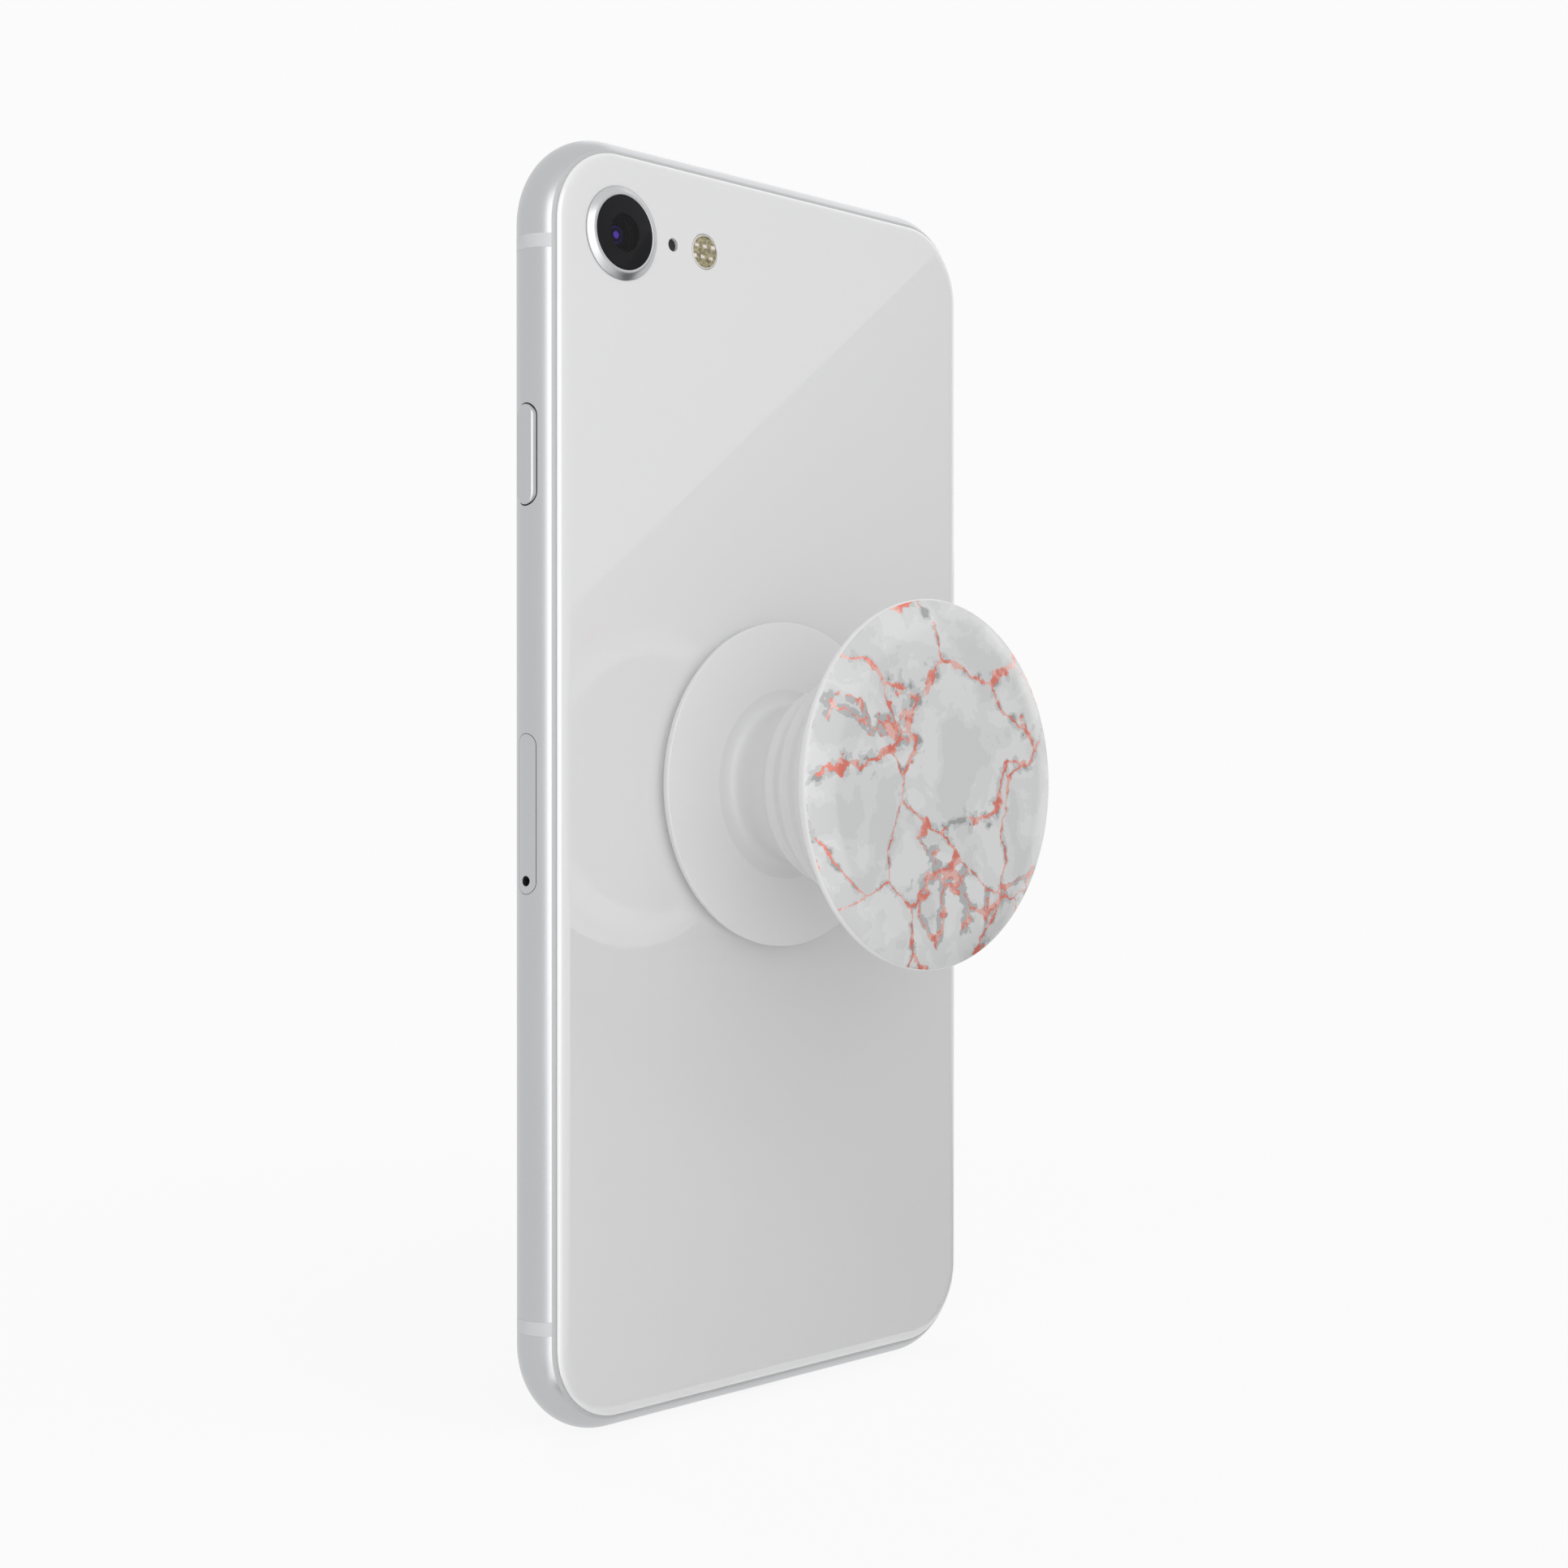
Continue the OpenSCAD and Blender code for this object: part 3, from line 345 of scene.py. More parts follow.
# %% [markdown]
# ## Reflection cards
# Gloss shows what stands round it. In a studio, cards are hung beside the camera for that. Here a grey card makes
# the slanted edge that lies over the back glass, a bright strip round the right side draws the white lines along
# the metal and the edge of the glass, and a card beyond the phone lights the top of the band. A card is seen by
# glossy rays only, so it adds no light and never gets into the picture. Its tone runs from corner to corner. The
# grey card's edge is found by following the camera's ray to the glass and on to the card.

# %% Card helper
LOW = 0.002


def glow(name, attribute):
    material = bpy.data.materials.new(name)
    board = blank(material)
    tone = board.node("ShaderNodeAttribute", {"attribute_name": attribute}).out("Fac")
    lit = board.node("ShaderNodeEmission", None, {"Color": (1, 1, 1, 1), "Strength": tone})
    board.node("ShaderNodeOutputMaterial", None, {"Surface": lit})
    return material


def card(name, rows, corners, tones):
    """A sheet through corners, which come column by column, with a tone at each of them."""
    faces = []
    for i in range(len(corners) // rows - 1):
        for j in range(rows - 1):
            first, second = rows * i + j, rows * (i + 1) + j
            faces.append((first, first + 1, second + 1, second))
    sheet = stage_sheet(name, corners, faces, glow(name, "tone"))
    sheet.data.attributes.new("tone", "FLOAT", "POINT").data.foreach_set("value", tones)
    for ray in ("camera", "diffuse", "transmission", "volume_scatter", "shadow"):
        setattr(sheet, "visible_" + ray, False)
    print(name, len(faces), "faces, tones from", min(tones), "to", max(tones))


print("cards start", LOW, "m over the floor")

# %% Grey card
GLASS_FACE, FOOT_GAP = 0.00365, 0.0015
CARD_REACH = 0.55
# a column stands where the picture shows it: across, down to its upper edge and down to its second row.
# Its tones run from the upper edge to the foot and on along the floor to the glass.
GREY_COLUMNS = (
    ((540, 910, 1102), [WHITE] * 4),
    ((672, 781, 1010), [0.68, 0.05, 0.08, 0.5]),
    ((1260, 208, 760), [0.62, 0.24, 0.3, 0.05]),
    ((1500, 208, 760), [0.58, 0.24, 0.3, 0.0]),
    ((1900, 208, 760), [WHITE] * 4),
)


def mirrored(u, v):
    """Where the back glass shows the pixel (u, v): the spot on the glass and the one on the upright card."""
    ray = ahead * FOCAL + right * (u - IMAGE / 2) + above * (IMAGE / 2 - v)
    spot = EYE + ray * ((GLASS_FACE - EYE.y) / ray.y)
    ray.y = -ray.y
    away = Vector((-behind.x, behind.y, 0))
    return spot, spot + ray * ((CARD_REACH - away.dot(spot)) / away.dot(ray))


corners, tones = [], []
for (u, edge, second), column_tones in GREY_COLUMNS:
    (spot, upper), (_, lower) = mirrored(u, edge), mirrored(u, second)
    foot, near = Vector((upper.x, upper.y, LOW)), Vector((spot.x, GLASS_FACE + FOOT_GAP, LOW))
    corners += [upper, lower, foot, near]
    tones += column_tones
card("grey_card", 4, corners, tones)

# %% Bright cards
ROOF_REACH, ROOF_START, ROOF_TONE = 0.8, 0.13, 1.3
STRIP_NEAR, STRIP_FAR, STRIP_TOP = 0.008, 0.62, 0.6
STRIP_FOOT = Vector((0.03, 0, 0))
# a compass angle, the tone far off and the tone close to the phone
STRIP_STOPS = ((34, WHITE, WHITE), (48, 2.6, 2.3), (61, 1.7, 1.4), (73, 3.0, 1.4), (86, WHITE, WHITE))

corners = []
for lift in (radians(2), radians(50)):
    for angle in (radians(162), radians(232)):
        level = ROOF_REACH * cos(lift)
        corners.append((level * cos(angle), level * sin(angle), ROOF_START + ROOF_REACH * sin(lift)))
card("roof_card", 2, corners, [ROOF_TONE] * 4)

corners, tones = [], []
for angle, tone, near_tone in STRIP_STOPS:
    turned = Vector((cos(radians(angle)), sin(radians(angle)), 0))
    for reach, height in ((STRIP_NEAR, LOW), (STRIP_FAR, LOW), (STRIP_FAR, STRIP_TOP)):
        corners.append(STRIP_FOOT + turned * reach + Vector((0, 0, height)))
    tones += [near_tone, tone, tone]
card("side_strip", 3, corners, tones)

# %% [markdown]
# ## Finishes of the shell
# Blasted aluminium is a metal with a fine even grain, so its roughness and bump come from a small noise. The glass
# back is white paint under clear glass: a pale rough base with a smooth coat on top, painted paler along the ground
# edge as a painted highlight. The front is the same glass over black ink, and the screen behind it is a little less
# black.


# %% Speckled finish
def speckled(base, rough, grain_mm, spread=0.03, depth_mm=0.004, **fixed):
    """A finish with an even fine grain: a little colour, a little roughness and a little bump."""

    def paint(board):
        spot = board.place()
        fine = board.grain(spot, 1 / grain_mm, 2)
        broad = board.grain(spot, 0.06, 3)
        dark = [c * (1 - spread) for c in base]
        light = [min(1, c * (1 + spread)) for c in base]
        return {
            "Base Color": board.tint(fine * 0.5 + broad * 0.5, dark, light),
            "Roughness": rough + (fine - 0.5) * 0.1 + (broad - 0.5) * 0.08,
            "Normal": board.bump(fine, depth_mm),
        }

    return lambda name: finish(name, paint, **fixed)


print("speckled finish ready")

# %% Metal, glass and seam finishes
GLASS_EDGE_HIGHLIGHT = (3.2, 3.6)
SCREEN_MID, SCREEN_HALF_W, SCREEN_HALF_H = 69.2, 29.25, 52
EYE_X, EYE_Z, EYE_R = 9.5, 62.5, 1.5


def white_back(board):
    """White paint under clear glass, with a painted highlight that makes it paler along the ground edge."""
    spot = board.place()
    pearl = board.grain(spot, 9, 2)
    broad = board.grain(spot, 0.02, 2)
    paint = board.tint(pearl * 0.4 + broad * 0.6, (0.778, 0.778, 0.78), (0.803, 0.803, 0.805))
    _, y, _ = board.axes(spot)
    return {
        # the ground edge is painted paler: a painted highlight where the edge catches light
        "Base Color": board.tint(board.step(y, *GLASS_EDGE_HIGHLIGHT, 1, 0), paint, (0.94, 0.94, 0.94)),
        "Roughness": 0.5 + broad * 0.1,
    }


def black_front(board):
    """Black ink under clear glass, with the screen and a small camera showing through."""
    x, _, z = board.axes(board.place((0, 0, SCREEN_MID)))
    screen = (x.size() < SCREEN_HALF_W) * (z.size() < SCREEN_HALF_H)
    aside, over = x - EYE_X, z - EYE_Z
    eye = (aside * aside + over * over).root() < EYE_R
    smear = board.grain(board.place(), 0.05, 3, 0.6, 0.5)
    ink = board.tint(screen, (0.008, 0.008, 0.009), (0.014, 0.014, 0.017))
    return {
        "Base Color": board.tint(eye, ink, (0.02, 0.02, 0.05)),
        "Roughness": 0.06 + board.step(smear, 0.45, 0.75) * 0.05,
    }


BAND_GREY = (0.52, 0.525, 0.535)
finishes = {
    "aluminium_band": speckled(BAND_GREY, 0.3, 0.09, metallic=1.0)("satin_aluminium"),
    "antenna_plastic": speckled((0.70, 0.71, 0.72), 0.4, 0.2)("break_plastic"),
    "seal": speckled((0.56, 0.565, 0.57), 0.42, 0.25)("seam_seal"),
    "white_glass": finish("white_back_glass", white_back, coat_weight=1.0, coat_roughness=0.008, coat_ior=1.9),
    "screen_glass": finish(
        "black_front_glass", black_front, coat_weight=1.0, coat_roughness=0.02, specular_ior_level=0.1
    ),
}
print("finishes:", sorted(finishes))

# %% [markdown]
# ## From sums to pieces
# All shapes are drawn in millimetres and made metres at the very end. The helpers turn a drawing into an object,
# bake its modifiers into a plain mesh, cut slots with a Boolean, round sharp lips with a Bevel, and hand the
# piece to its body in the frame.


# %% Mesh helpers
def drawn(name, bm):
    mesh = bpy.data.meshes.new(name)
    bmesh.ops.recalc_face_normals(bm, faces=bm.faces)
    bm.to_mesh(mesh)
    bm.free()
    return placed(name, mesh)


def bake(obj):
    """Turns an object with modifiers into a plain mesh."""
    graph = bpy.context.evaluated_depsgraph_get()
    mesh = bpy.data.meshes.new_from_object(obj.evaluated_get(graph))
    obj.modifiers.clear()
    obj.data = mesh
    return obj


def change(obj, kind, **settings):
    """Adds a modifier and bakes it."""
    step = obj.modifiers.new(kind.lower(), kind)
    for key, value in settings.items():
        setattr(step, key, value)
    return bake(obj)


def carve(obj, cutter):
    change(obj, "BOOLEAN", object=cutter, operation="DIFFERENCE", solver="EXACT")
    bpy.data.objects.remove(cutter)
    return obj


def soften(obj, width, segments=2, angle=45):
    """Rounds the edges that are sharper than angle."""
    limits = {"limit_method": "ANGLE", "angle_limit": radians(angle), "use_clamp_overlap": False}
    return change(obj, "BEVEL", width=width, segments=segments, **limits)


def merged(name, objs):
    bm = bmesh.new()
    for obj in objs:
        bm.from_mesh(obj.data)
        bpy.data.objects.remove(obj)
    mesh = bpy.data.meshes.new(name)
    bm.to_mesh(mesh)
    bm.free()
    return placed(name, mesh)


print("mesh helpers ready, one millimetre is", MM, "m")


# %% Hand a piece over
def piece(obj, name, body, slot, stands_for=(), material=None, lean=None, smooth=35):
    """Makes a drawing a finished piece: metres, material, shading, and its place in the frame."""
    mesh = obj.data
    obj.name = mesh.name = name
    mesh.materials.clear()
    mesh.materials.append(material or finishes[slot])
    mesh.shade_smooth()
    if lean:
        mesh.normals_split_custom_set(ruled_normals(mesh, lean))
    else:
        mesh.set_sharp_from_angle(angle=radians(smooth))
    mesh.transform(Matrix.Scale(MM, 4))
    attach(obj, body)
    if stands_for:
        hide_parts(*stands_for)
    low, high = [Vector(f(v.co[i] for v in mesh.vertices) for i in range(3)) / MM for f in (min, max)]
    print(name, len(mesh.polygons), "faces", [round(v, 2) for v in low], [round(v, 2) for v in high])
    return obj


# %% [markdown]
# ## Rules for smooth light
# A cut surface shades badly, because a Boolean leaves long thin faces. But every point of the band and of the
# glass follows a rule, so its true direction can be worked out and given to the mesh. Corners of faces that
# follow the rule get the rule's direction, and cut walls keep their own.

# %% Outline rule
HALF_W, HEIGHT = 33.65, 138.4
MID_Z = HEIGHT / 2
CORNER_R, WALL, BULGE_R = 10.2, 3.0, 3.5
RIM_Y, GLASS_Y, RIM_IN, GLASS_IN = 2.8, 3.05, 1.4, 1.8


def outline_place(x, z):
    """How far a point lies in from the phone's outline, and which way is out."""
    over_x, over_z = abs(x) - HALF_W + CORNER_R, abs(z - MID_Z) - MID_Z + CORNER_R
    if over_x > 0 and over_z > 0:
        reach = hypot(over_x, over_z)
        return CORNER_R - reach, copysign(over_x / reach, x), copysign(over_z / reach, z - MID_Z)
    if over_x > over_z:
        return CORNER_R - over_x, copysign(1, x), 0
    return CORNER_R - over_z, 0, copysign(1, z - MID_Z)


print("the middle of the back lies", outline_place(0, MID_Z)[0], "mm in")

# %% Surface rules
EDGE_WIDE, EDGE_HIGH = 1.5, 0.6
EDGE_IN = GLASS_IN + EDGE_WIDE
NEAR, SAME_WAY = 0.05, 0.86


def bulge_in(y):
    return BULGE_R - sqrt(BULGE_R**2 - y**2)


def band_lean(inset, y):
    if abs(inset - bulge_in(max(-RIM_Y, min(RIM_Y, y)))) < NEAR:
        return sqrt(1 - (y / BULGE_R) ** 2), y / BULGE_R


def glass_lean(inset, y):
    if inset > EDGE_IN - 0.001:
        return 0, copysign(1, y)
    along, up = (EDGE_IN - inset) / EDGE_WIDE, (abs(y) - GLASS_Y) / EDGE_HIGH
    if abs(hypot(along, up) - 1) < NEAR:
        out, over = along / EDGE_WIDE, up / EDGE_HIGH
        return out / hypot(out, over), copysign(over / hypot(out, over), y)


def ruled_normals(mesh, lean):
    """A direction for each corner of each face; lean(inset, y) gives the rule's share outward and along Y."""
    normals = []
    for face in mesh.polygons:
        for corner in face.vertices:
            spot = mesh.vertices[corner].co
            inset, out_x, out_z = outline_place(spot.x, spot.z)
            share = lean(inset, spot.y)
            rule = Vector((out_x * share[0], share[1], out_z * share[0])) if share else face.normal
            normals.append(rule if rule.dot(face.normal) > SAME_WAY else face.normal)
    return normals


print("the glass is flat from", EDGE_IN, "mm in")

# %% [markdown]
# ## Metal band
# The band is one bulged profile carried round a rectangle with round corners. It could be extruded and bent, but a
# sweep says just that: in Geometry Nodes, Quadrilateral and Fillet Curve make the path, the object's own outline is
# the profile, and Curve to Mesh joins the two. The same tree makes the seams and the glass edges.


# %% Tree helpers
def new_tree(name, inputs):
    tree = bpy.data.node_groups.new(name, "GeometryNodeTree")
    for label, kind in inputs:
        tree.interface.new_socket(label, in_out="INPUT", socket_type="NodeSocket" + kind)
    tree.interface.new_socket("Geometry", in_out="OUTPUT", socket_type="NodeSocketGeometry")
    board = Board(tree)
    return board, board.node("NodeGroupInput")


def close_tree(board, shape, given):
    solid = board.node("GeometryNodeRealizeInstances", None, {0: shape})
    shown = board.node("GeometryNodeSetMaterial", None, {"Geometry": solid, "Material": given.out("Material")})
    board.node("NodeGroupOutput", None, {0: shown})
    return board.tree


def inputs_of(tree):
    return {item.name: item.identifier for item in tree.interface.items_tree if item.in_out == "INPUT"}


def grown(obj, tree, **sizes):
    """Runs a tree on an object and keeps the plain mesh."""
    growth = obj.modifiers.new("growth", "NODES")
    growth.node_group = tree
    for label, identifier in inputs_of(tree).items():
        if label.replace(" ", "_").lower() in sizes:
            growth[identifier] = sizes[label.replace(" ", "_").lower()]
    return bake(obj)


print("tree helpers ready")


# %% Sweep tree
def sweep_tree():
    board, given = new_tree("rim_sweep", [
        ("Profile", "Geometry"), ("Width", "Float"), ("Height", "Float"), ("Corner radius", "Float"),
        ("Corner points", "Int"), ("Material", "Material"),
    ])
    path = board.node("GeometryNodeCurvePrimitiveQuadrilateral", None,
                      {"Width": given.out("Width"), "Height": given.out("Height")})
    path = board.node("GeometryNodeFilletCurve", {"mode": "POLY"}, {
        "Curve": path, "Count": given.out("Corner points"), "Radius": given.out("Corner radius")})
    path = board.node("GeometryNodeSetCurveNormal", {"mode": "Z_UP"}, {"Curve": path})
    profile = board.node("GeometryNodeMeshToCurve", None, {"Mesh": given.out("Profile")})
    shape = board.node("GeometryNodeCurveToMesh", None, {"Curve": path, "Profile Curve": profile})
    middle = board.node("ShaderNodeCombineXYZ", None, {"Z": given.out("Height") / 2})
    shape = board.node("GeometryNodeTransform", None, {
        "Geometry": shape, "Translation": middle, "Rotation": (pi / 2, 0, 0)})
    return close_tree(board, shape, given)


RIM_SWEEP = sweep_tree()
print("inputs of the sweep:", list(inputs_of(RIM_SWEEP)))

# %% Sweep the band
CORNER_STEPS, BULGE_STEPS = 22, 22


def swept(name, profile, closed=True):
    """Carries a profile of (inset, y) points round the phone's outline."""
    count = len(profile)
    mesh = bpy.data.meshes.new(name)
    edges = [(i, (i + 1) % count) for i in range(count if closed else count - 1)]
    mesh.from_pydata([(-inset, y, 0) for inset, y in profile], edges, [])
    sizes = {"width": 2 * HALF_W, "height": HEIGHT, "corner_radius": CORNER_R, "corner_points": CORNER_STEPS}
    return grown(placed(name, mesh), RIM_SWEEP, **sizes)


bulge = [RIM_Y * (2 * i / BULGE_STEPS - 1) for i in range(BULGE_STEPS + 1)]
band = swept("band", [(bulge_in(y), y) for y in bulge] + [(WALL, RIM_Y), (WALL, -RIM_Y)])
extent = [[round(f(v.co[i] for v in band.data.vertices), 2) for i in range(3)] for f in (min, max)]
print("band:", len(band.data.polygons), "faces", extent)

# %% [markdown]
# The band is not one piece: four plastic breaks let the radio waves out, and part it into a top, a bottom and two
# rails. So the sweep is cut with level planes, and each cut is closed again.

# %% Cut the band at its breaks
BREAK_LOW, BREAK_HIGH = 11.575, 13.025


def between(name, low, high, side=0):
    bm = bmesh.new()
    bm.from_mesh(band.data)
    if side:
        bmesh.ops.delete(bm, geom=[v for v in bm.verts if v.co.x * side < 0], context="VERTS")
    for level, way in ((low, -1), (high, 1)):
        whole = bm.verts[:] + bm.edges[:] + bm.faces[:]
        cut = bmesh.ops.bisect_plane(bm, geom=whole, plane_co=(0, 0, level), plane_no=(0, 0, way), clear_outer=True)
        rim = [e for e in cut["geom_cut"] if isinstance(e, bmesh.types.BMEdge)]
        if rim:
            bmesh.ops.holes_fill(bm, edges=rim, sides=0)
    return drawn(name, bm)


top_end = between("band_top", HEIGHT - BREAK_LOW, 2 * HEIGHT)
bottom_end = between("band_bottom", -HEIGHT, BREAK_LOW)
right_rail = between("band_right", BREAK_HIGH, HEIGHT - BREAK_HIGH, 1)
left_rail = between("band_left", BREAK_HIGH, HEIGHT - BREAK_HIGH, -1)
breaks = merged("band_breaks", [between("low", BREAK_LOW, BREAK_HIGH),
                                between("high", HEIGHT - BREAK_HIGH, HEIGHT - BREAK_LOW)])
print("cut faces:", [len(o.data.polygons) for o in (top_end, bottom_end, right_rail, left_rail, breaks)])

# %% [markdown]
# ## Slots and holes
# Keys and the card tray sit in slots with round ends, and the bottom has the charging socket, two screws and two
# rows of sound holes. A slot is cut by a long rounded bar. The sound holes repeat, so a small tree sets one round
# bar out in two rows. After the cuts a narrow bevel rounds the lips, because a real edge always catches some light.


# %% Outlines and bars
def circle(radius, points=40):
    return [(radius * cos(2 * pi * i / points), radius * sin(2 * pi * i / points)) for i in range(points)]


def stadium(length, width, points=14):
    reach, radius = (length - width) / 2, width / 2
    ends = []
    for end in (1, -1):
        for i in range(points + 1):
            angle = pi * i / points - pi / 2
            ends.append((end * (reach + radius * cos(angle)), end * radius * sin(angle)))
    return ends


def prism(name, outline, place, first, last):
    """Draws an outline straight through space; place(u, v, depth) says where a point goes."""
    bm = bmesh.new()
    near, far = [[bm.verts.new(place(u, v, depth)) for u, v in outline] for depth in (first, last)]
    bm.faces.new(near)
    bm.faces.new(far)
    for i in range(len(outline)):
        bm.faces.new((near[i - 1], near[i], far[i], far[i - 1]))
    return drawn(name, bm)


def through_x(y, z):
    return lambda u, v, depth: (depth, y + v, z + u)


def through_y(x, z):
    return lambda u, v, depth: (x + u, depth, z + v)


def through_z(x):
    return lambda u, v, depth: (x + u, v, depth)


print("a slot's outline has", len(stadium(2, 1)), "points")

# %% Slots in the rails
# the keys and the switch: height of the middle, length and, for the switch, width
SIDE_KEY, VOLUME_UP, VOLUME_DOWN = (103.84, 10.6), (102.9, 9.6), (91.0, 9.6)
SWITCH_SLOT = (115.4, 6.2, 2.7)
TRAY_Z, TRAY_LONG, TRAY_WIDE = 66.17, 16.8, 2.5
KEY_Y, KEY_W, SLOT_GAP, FIT = 0.25, 2.6, 0.1, 0.05
RAIL_CUT = (29, 36)


def wall_slot(side, z, length, width):
    bar = stadium(length + 2 * SLOT_GAP, width + 2 * SLOT_GAP)
    return prism("slot", bar, through_x(KEY_Y, z), *[side * depth for depth in RAIL_CUT])


carve(right_rail, wall_slot(1, *SIDE_KEY, KEY_W))
tray_bar = stadium(TRAY_LONG + 2 * FIT, TRAY_WIDE + 2 * FIT)
carve(right_rail, prism("tray_slot", tray_bar, through_x(KEY_Y, TRAY_Z), *RAIL_CUT))
carve(left_rail, wall_slot(-1, *VOLUME_UP, KEY_W))
carve(left_rail, wall_slot(-1, *VOLUME_DOWN, KEY_W))
carve(left_rail, wall_slot(-1, *SWITCH_SLOT))
print("rails:", len(right_rail.data.polygons), len(left_rail.data.polygons))


# %% Row tree
def row_tree():
    """Sets an item out in two rows."""
    vectors = [(label, "Vector") for label in ("First start", "First step", "Second start", "Second step")]
    board, given = new_tree("two_rows", [("Item", "Geometry"), ("Count", "Int"), *vectors, ("Material", "Material")])
    rows = []
    for label in ("First", "Second"):
        rows.append(board.node("GeometryNodeMeshLine", None, {
            "Count": given.out("Count"), "Start Location": given.out(label + " start"),
            "Offset": given.out(label + " step")}))
    both = board.node("GeometryNodeJoinGeometry", None, {0: rows[0]})
    board.tree.links.new(rows[1].socket, both.socket.node.inputs[0])
    spread = board.node("GeometryNodeInstanceOnPoints", None, {"Points": both, "Instance": given.out("Item")})
    return close_tree(board, spread, given)


TWO_ROWS = row_tree()


def in_two_rows(item, count, start, step, flip=(-1, 1, 1)):
    """Grows two rows of an item; the second is the first one flipped."""
    turned = [[a * b for a, b in zip(v, flip)] for v in (start, step)]
    return grown(item, TWO_ROWS, count=count, first_start=start, first_step=step, second_start=turned[0],
                 second_step=turned[1])


print("inputs of the rows:", list(inputs_of(TWO_ROWS)))

# %% Bottom holes
PORT = (8.0, 2.6)
SCREW_X, SCREW_R, SCREW_SEAT, SHANK_HOLE_R = 6.6, 0.8, 0.9, 0.5
SOUND_R, SOUND_FIRST, SOUND_PITCH, SOUND_COUNT = 0.75, 10.5, 2.3, 6
HOLE_CUT = (-1, 4)
carve(bottom_end, prism("port", stadium(*PORT), through_z(0), *HOLE_CUT))
sound = prism("sound", circle(SOUND_R, 28), through_z(0), *HOLE_CUT)
carve(bottom_end, in_two_rows(sound, SOUND_COUNT, (SOUND_FIRST, 0, 0), (SOUND_PITCH, 0, 0)))
for radius, depth in ((SHANK_HOLE_R, HOLE_CUT[1]), (SCREW_R + FIT, SCREW_SEAT)):
    seat = prism("seat", circle(radius), through_z(0), HOLE_CUT[0], depth)
    carve(bottom_end, in_two_rows(seat, 1, (SCREW_X, 0, 0), (1, 0, 0)))
print("bottom:", len(bottom_end.data.polygons), "faces")

# %% Hand over the band
LIP = 0.03
for obj, node, slot in (
    (top_end, "frame_top", "aluminium_band"), (bottom_end, "frame_bottom", "aluminium_band"),
    (right_rail, "rail_right", "aluminium_band"), (left_rail, "rail_left", "aluminium_band"),
    (breaks, "antenna_bands", "antenna_plastic"),
):
    has_lips = obj in (bottom_end, right_rail, left_rail)
    piece(soften(obj, LIP) if has_lips else obj, obj.name, "phone", slot, [node], lean=band_lean)
bpy.data.objects.remove(band)

# %% [markdown]
# ## Seams and glass
# Between metal and glass lies a thin pale seal, and the glass itself is a sheet whose edge is ground to a quarter
# round. Both follow the band's path, so the sweep is used again. The glass edge is swept as an open strip, and the
# two rims that stay open are filled to make the flat faces. Holes are then cut and their edges rounded a little.


# %% Seams and glass sheets
def closed_up(obj):
    """Fills open rims and turns every face outward."""
    bm = bmesh.new()
    bm.from_mesh(obj.data)
    bmesh.ops.holes_fill(bm, edges=[e for e in bm.edges if e.is_boundary], sides=0)
    name = obj.name
    bpy.data.objects.remove(obj)
    return drawn(name, bm)


def glass_sheet(name, way, steps=18, first=4):
    """A sheet with a ground edge that faces the way of Y; its edge starts a few degrees up."""
    turns = [radians(first + (90 - first) * i / steps) for i in range(steps + 1)]
    rim = [(EDGE_IN - EDGE_WIDE * cos(t), way * (GLASS_Y + EDGE_HIGH * sin(t))) for t in turns]
    return closed_up(swept(name, rim, closed=False))


SEAL_IN = 3.3
for name, way, node in (("seam_rear", 1, "rear_gasket"), ("seam_front", -1, "front_gasket")):
    rim = [(RIM_IN, RIM_Y), (GLASS_IN, GLASS_Y), (SEAL_IN, GLASS_Y), (SEAL_IN, RIM_Y)]
    piece(closed_up(swept(name, [(inset, way * y) for inset, y in rim])), name, "phone", "seal", [node])

# %% Holes in the glass
CAM, MIC, FLASH, HOME, EAR = (23.28, 128.08), (15.73, 128.08), (10.98, 128.08), (0, 9.6), (0, 131.7)
CAM_HOLE, MIC_HOLE, FLASH_HOLE, HOME_HOLE = 4.55, 0.7, 1.95, 5.45
EAR_LONG, EAR_WIDE = 10, 1.5
GLASS_LIP = 0.1
CUT_FROM, CUT_TO = 2, 5
back = glass_sheet("back_glass", 1)
for middle, radius in ((CAM, CAM_HOLE), (MIC, MIC_HOLE), (FLASH, FLASH_HOLE)):
    carve(back, prism("hole", circle(radius, 72), through_y(*middle), CUT_FROM, CUT_TO))
piece(soften(back, GLASS_LIP, 3), "back_glass", "phone", "white_glass", ["rear_glass"], lean=glass_lean)

front = glass_sheet("screen_sheet", -1)
for outline, middle in ((circle(HOME_HOLE, 96), HOME), (stadium(EAR_LONG, EAR_WIDE), EAR)):
    carve(front, prism("hole", outline, through_y(*middle), -CUT_TO, -CUT_FROM))
piece(soften(front, GLASS_LIP, 3), "screen_sheet", "phone", "screen_glass", ["front_glass"], lean=glass_lean)

# %% [markdown]
# ## Turned pieces
# Camera ring, lens barrel, home key and most of the grip are round, and were turned or moulded. A lathe makes them
# here as well: a profile of radius and depth is set out in a ring of copies and skinned.


# %% Lathe
def lathe(name, points, middle, turns=96):
    """Turns a profile of (radius, y) points about an axis along Y."""
    bm = bmesh.new()
    rings = []
    for radius, y in points:
        spots = circle(radius, turns) if radius > 0 else [(0, 0)]
        rings.append([bm.verts.new((middle[0] + u, y, middle[1] + v)) for u, v in spots])
    for a, b in zip(rings, rings[1:] + ([rings[0]] if points[0][0] > 0 else [])):
        for i in range(turns):
            corners = [a[(i - 1) % len(a)], a[i % len(a)], b[i % len(b)], b[(i - 1) % len(b)]]
            corners = list(dict.fromkeys(corners))
            if len(corners) > 2:
                bm.faces.new(corners)
    return drawn(name, bm)


def arc(middle, radius, first, last, steps):
    """Points on part of a circle, in degrees."""
    angles = [radians(first + (last - first) * i / steps) for i in range(steps + 1)]
    return [(middle[0] + radius * cos(a), middle[1] + radius * sin(a)) for a in angles]


